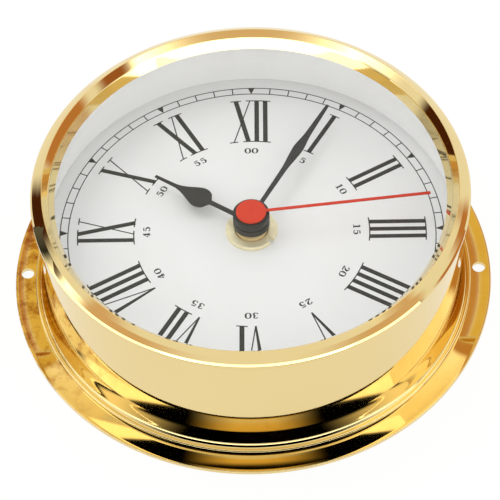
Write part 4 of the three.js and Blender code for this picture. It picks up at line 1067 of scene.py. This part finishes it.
# Each cloth: azimuth to the right of the front, elevation, both from and to in degrees, colour, brightness.
CLOTHS = {
    "tan cloth over the softbox": (-85, 85, 29, 44, "#e6c4a2", 1.0),
    "low white cloth in front": (-78, 70, -14, 4, "#ffffff", 2.6),
    "white strip on the left": (-96, -50, 21, 28, "#ffffff", 3.0),
    "front softbox": (-56, 59, -10, 27, "#ffffff", 3.6),
    "brown cloth on the left": (-130, -94, -12, 24, "#4a240e", 1.0),
    "tan cloth on the right": (88, 122, -12, 20, "#c88953", 1.0),
    "copper screen on the right": (62, 78, 10, 27, "#a8683a", 1.0),
    "warm cloth behind, left": (-181, -140, 35, 62, "#efcb6a", 1.0),
    "warm cloth behind, right": (140, 181, 35, 62, "#d49c58", 1.0),
    "left side window": (-150, -92, 48, 80, "#fffbe8", 1.3),
    "right side window": (66, 150, 48, 80, "#fffbe8", 1.6),
}
world = bpy.data.worlds.new("studio")
bpy.context.scene.world = world
world.use_nodes = True
tree = world.node_tree
tree.nodes.clear()


def azimuth_of(tree, vector):
    """The azimuth of a vector to the right of the front, in degrees, and its split axes."""
    axes = add(tree, "ShaderNodeSeparateXYZ", {"Vector": vector})
    forward = add(tree, "ShaderNodeMath", {0: axes.outputs["Y"], 1: -1.0}, operation="MULTIPLY")
    turn = add(tree, "ShaderNodeMath", {0: axes.outputs["X"], 1: forward}, operation="ARCTAN2")
    return add(tree, "ShaderNodeMath", {0: turn, 1: math.degrees(1)}, operation="MULTIPLY"), axes


def slide(tree, value, start, full, top=1.0):
    """Goes softly from 0 where the value is start to top where it is full."""
    return add(tree, "ShaderNodeMapRange",
               {"Value": value, "From Min": start, "From Max": full, "To Max": top},
               interpolation_type="SMOOTHSTEP")


def window(tree, value, low, high):
    """1 where the value lies between low and high and 0 outside, with soft edges."""
    half = CLOTH_FADE / 2
    rise = slide(tree, value, low - half, low + half)
    fall = slide(tree, value, high + half, high - half)
    return add(tree, "ShaderNodeMath", {0: rise, 1: fall}, operation="MULTIPLY")


azimuth, axes = azimuth_of(tree, add(tree, "ShaderNodeTexCoord").outputs["Generated"])
slope = add(tree, "ShaderNodeMath", {0: axes.outputs["Z"]}, operation="ARCSINE")
elevation = add(tree, "ShaderNodeMath", {0: slope, 1: math.degrees(1)}, operation="MULTIPLY")
seen_in_brass = [STUDIO_LEVEL] * 3 + [1]
for left_edge, right_edge, bottom, top, tone, brightness in CLOTHS.values():
    area = add(tree, "ShaderNodeMath", {0: window(tree, azimuth, left_edge, right_edge),
                                        1: window(tree, elevation, bottom, top)}, operation="MULTIPLY")
    bright = [part * brightness for part in linear(tone)[:3]] + [1]
    seen_in_brass = mix_colours(tree, area, seen_in_brass, bright)
mirrored = add(tree, "ShaderNodeBackground", {"Color": seen_in_brass, "Strength": 1.0})
plain = add(tree, "ShaderNodeBackground", {"Color": WHITE, "Strength": 1.0})
low_fill = add(tree, "ShaderNodeMapRange",
               {"Value": elevation, "From Min": FILL_SPAN[0], "From Max": FILL_SPAN[1],
                "To Min": LOW_FILL_LEVEL, "To Max": FILL_LEVEL})
fill = add(tree, "ShaderNodeBackground", {"Color": WHITE, "Strength": low_fill})
lit = add(tree, "ShaderNodeMixShader", {0: any_ray(tree, "Is Glossy Ray"), 1: fill, 2: mirrored})
shown = any_ray(tree, "Is Camera Ray", "Is Transmission Ray")
sky = add(tree, "ShaderNodeMixShader", {0: shown, 1: lit, 2: plain})
add(tree, "ShaderNodeOutputWorld", {"Surface": sky})
print("cloths", list(CLOTHS))

# %% [markdown]
# ## Black card
# The flange and the cove are nearly black in front. A black card round the front gives them that, and the
# bezel looks out over it. The card stands a little off the table, so that the bezel's upright edge sees white
# under it. A soft amber glow in its middle makes the orange there, its sides pale low down where the cove is
# gold, a white band lies along its top towards the sides, and its two ends fade to grey.

# %% Black card round the front
CARD_RADIUS = 75.0
CARD_FOOT = 4.0               # mm off the table
CARD_HEIGHT = 43.8            # top edge in the middle
CARD_END_HEIGHT = 46.5        # top edge where it faces the side
CARD_SIDE = 90                # degrees off the middle, where it faces the side
CARD_SPAN = (-90, 57)         # degrees to the left and to the right of the front
# Pairs are where a thing starts and where it is full, in mm of height or in degrees off the middle.
PALE_HEIGHT = (32.0, 22.0)
PALE_TURN = (22, 52)
PALE_LEVEL = 1.5
AMBER = "#fce092"             # the glow, which turns the flange orange
AMBER_TURN = (26, 5)
AMBER_HEIGHT = (33.8, 35.8)
WHITER_HEIGHT = (37.0, 41.0)  # over which it turns from amber to white
BAND_HEIGHT = (47.4, 48.6)    # of the white band on top, less what it widens to the sides
BAND_WIDENS = 0.17            # mm for each degree off the middle
BAND_TURN = (82, 70)
BAND_LEVEL = 2.2
END_FADE = 13                 # degrees over which the two ends turn grey
END_LEVEL = 0.12
card_black, tree = new_material("black flock card")
azimuth, axes = azimuth_of(tree, add(tree, "ShaderNodeTexCoord").outputs["Object"])
aside = add(tree, "ShaderNodeMath", {0: azimuth}, operation="ABSOLUTE")
height = add(tree, "ShaderNodeMath", {0: axes.outputs["Z"], 1: 1 / MM}, operation="MULTIPLY")
pale = add(tree, "ShaderNodeMath", {0: slide(tree, aside, *PALE_TURN, top=PALE_LEVEL),
                                    1: slide(tree, height, *PALE_HEIGHT)}, operation="MULTIPLY")
amber = add(tree, "ShaderNodeMath", {0: slide(tree, aside, *AMBER_TURN),
                                     1: slide(tree, height, *AMBER_HEIGHT)}, operation="MULTIPLY")
glow = mix_colours(tree, slide(tree, height, *WHITER_HEIGHT), AMBER, "#ffffff")
sheen = mix_colours(tree, amber, "#000000", glow)
widened = add(tree, "ShaderNodeMath", {0: aside, 1: BAND_WIDENS, 2: height}, operation="MULTIPLY_ADD")
band = add(tree, "ShaderNodeMath", {0: slide(tree, widened, *BAND_HEIGHT, top=BAND_LEVEL),
                                    1: slide(tree, aside, *BAND_TURN)}, operation="MULTIPLY")
for end, inward in zip(CARD_SPAN, (1, -1)):
    grey = slide(tree, azimuth, end + inward * END_FADE, end, top=END_LEVEL)
    band = add(tree, "ShaderNodeMath", {0: band, 1: grey}, operation="MAXIMUM")
white_part = add(tree, "ShaderNodeMath", {0: pale, 1: band}, operation="MAXIMUM")
white_light = add(tree, "ShaderNodeEmission", {"Color": WHITE, "Strength": white_part})
amber_light = add(tree, "ShaderNodeEmission", {"Color": sheen, "Strength": 1.0})
add(tree, "ShaderNodeOutputMaterial",
    {"Surface": add(tree, "ShaderNodeAddShader", {0: white_light, 1: amber_light})})
points = []
for degrees in range(CARD_SPAN[0], CARD_SPAN[1] + 1):
    x, y = CARD_RADIUS * math.sin(math.radians(degrees)), -CARD_RADIUS * math.cos(math.radians(degrees))
    top_edge = CARD_HEIGHT + (CARD_END_HEIGHT - CARD_HEIGHT) * (degrees / CARD_SIDE) ** 2
    points += [(x, y, CARD_FOOT), (x, y, top_edge)]
faces = [(i, i + 2, i + 3, i + 1) for i in range(0, len(points) - 2, 2)]
card = make_piece("black_card", points, faces, card_black, body=None)
card.visible_camera = False
card.visible_shadow = False
card.visible_diffuse = False
card.visible_transmission = False

# %% [markdown]
# ## Soft key lamp
# The white studio lights matt surfaces evenly, so one large lamp from the upper left gives the hands and the
# inner wall their faint shadows. The brass doesn't mirror it, because its disc would show there as a spot.

# %% Soft key lamp
KEY_POWER = 0.82         # W
KEY_SIZE = 0.35          # m across
KEY_PLACE = (-0.35, 0.25, 0.75)
KEY_AIM = Vector((0, 0, 0.02))
key_data = bpy.data.lights.new("key", "AREA")
key_data.shape = "DISK"
key_data.size = KEY_SIZE
key_data.energy = KEY_POWER
key = bpy.data.objects.new("key", key_data)
key.location = KEY_PLACE
key.rotation_euler = (KEY_AIM - key.location).to_track_quat("-Z", "Y").to_euler()
key.visible_glossy = False
bpy.context.scene.collection.objects.link(key)
print("key lamp", key.location[:], "power", KEY_POWER, "W")
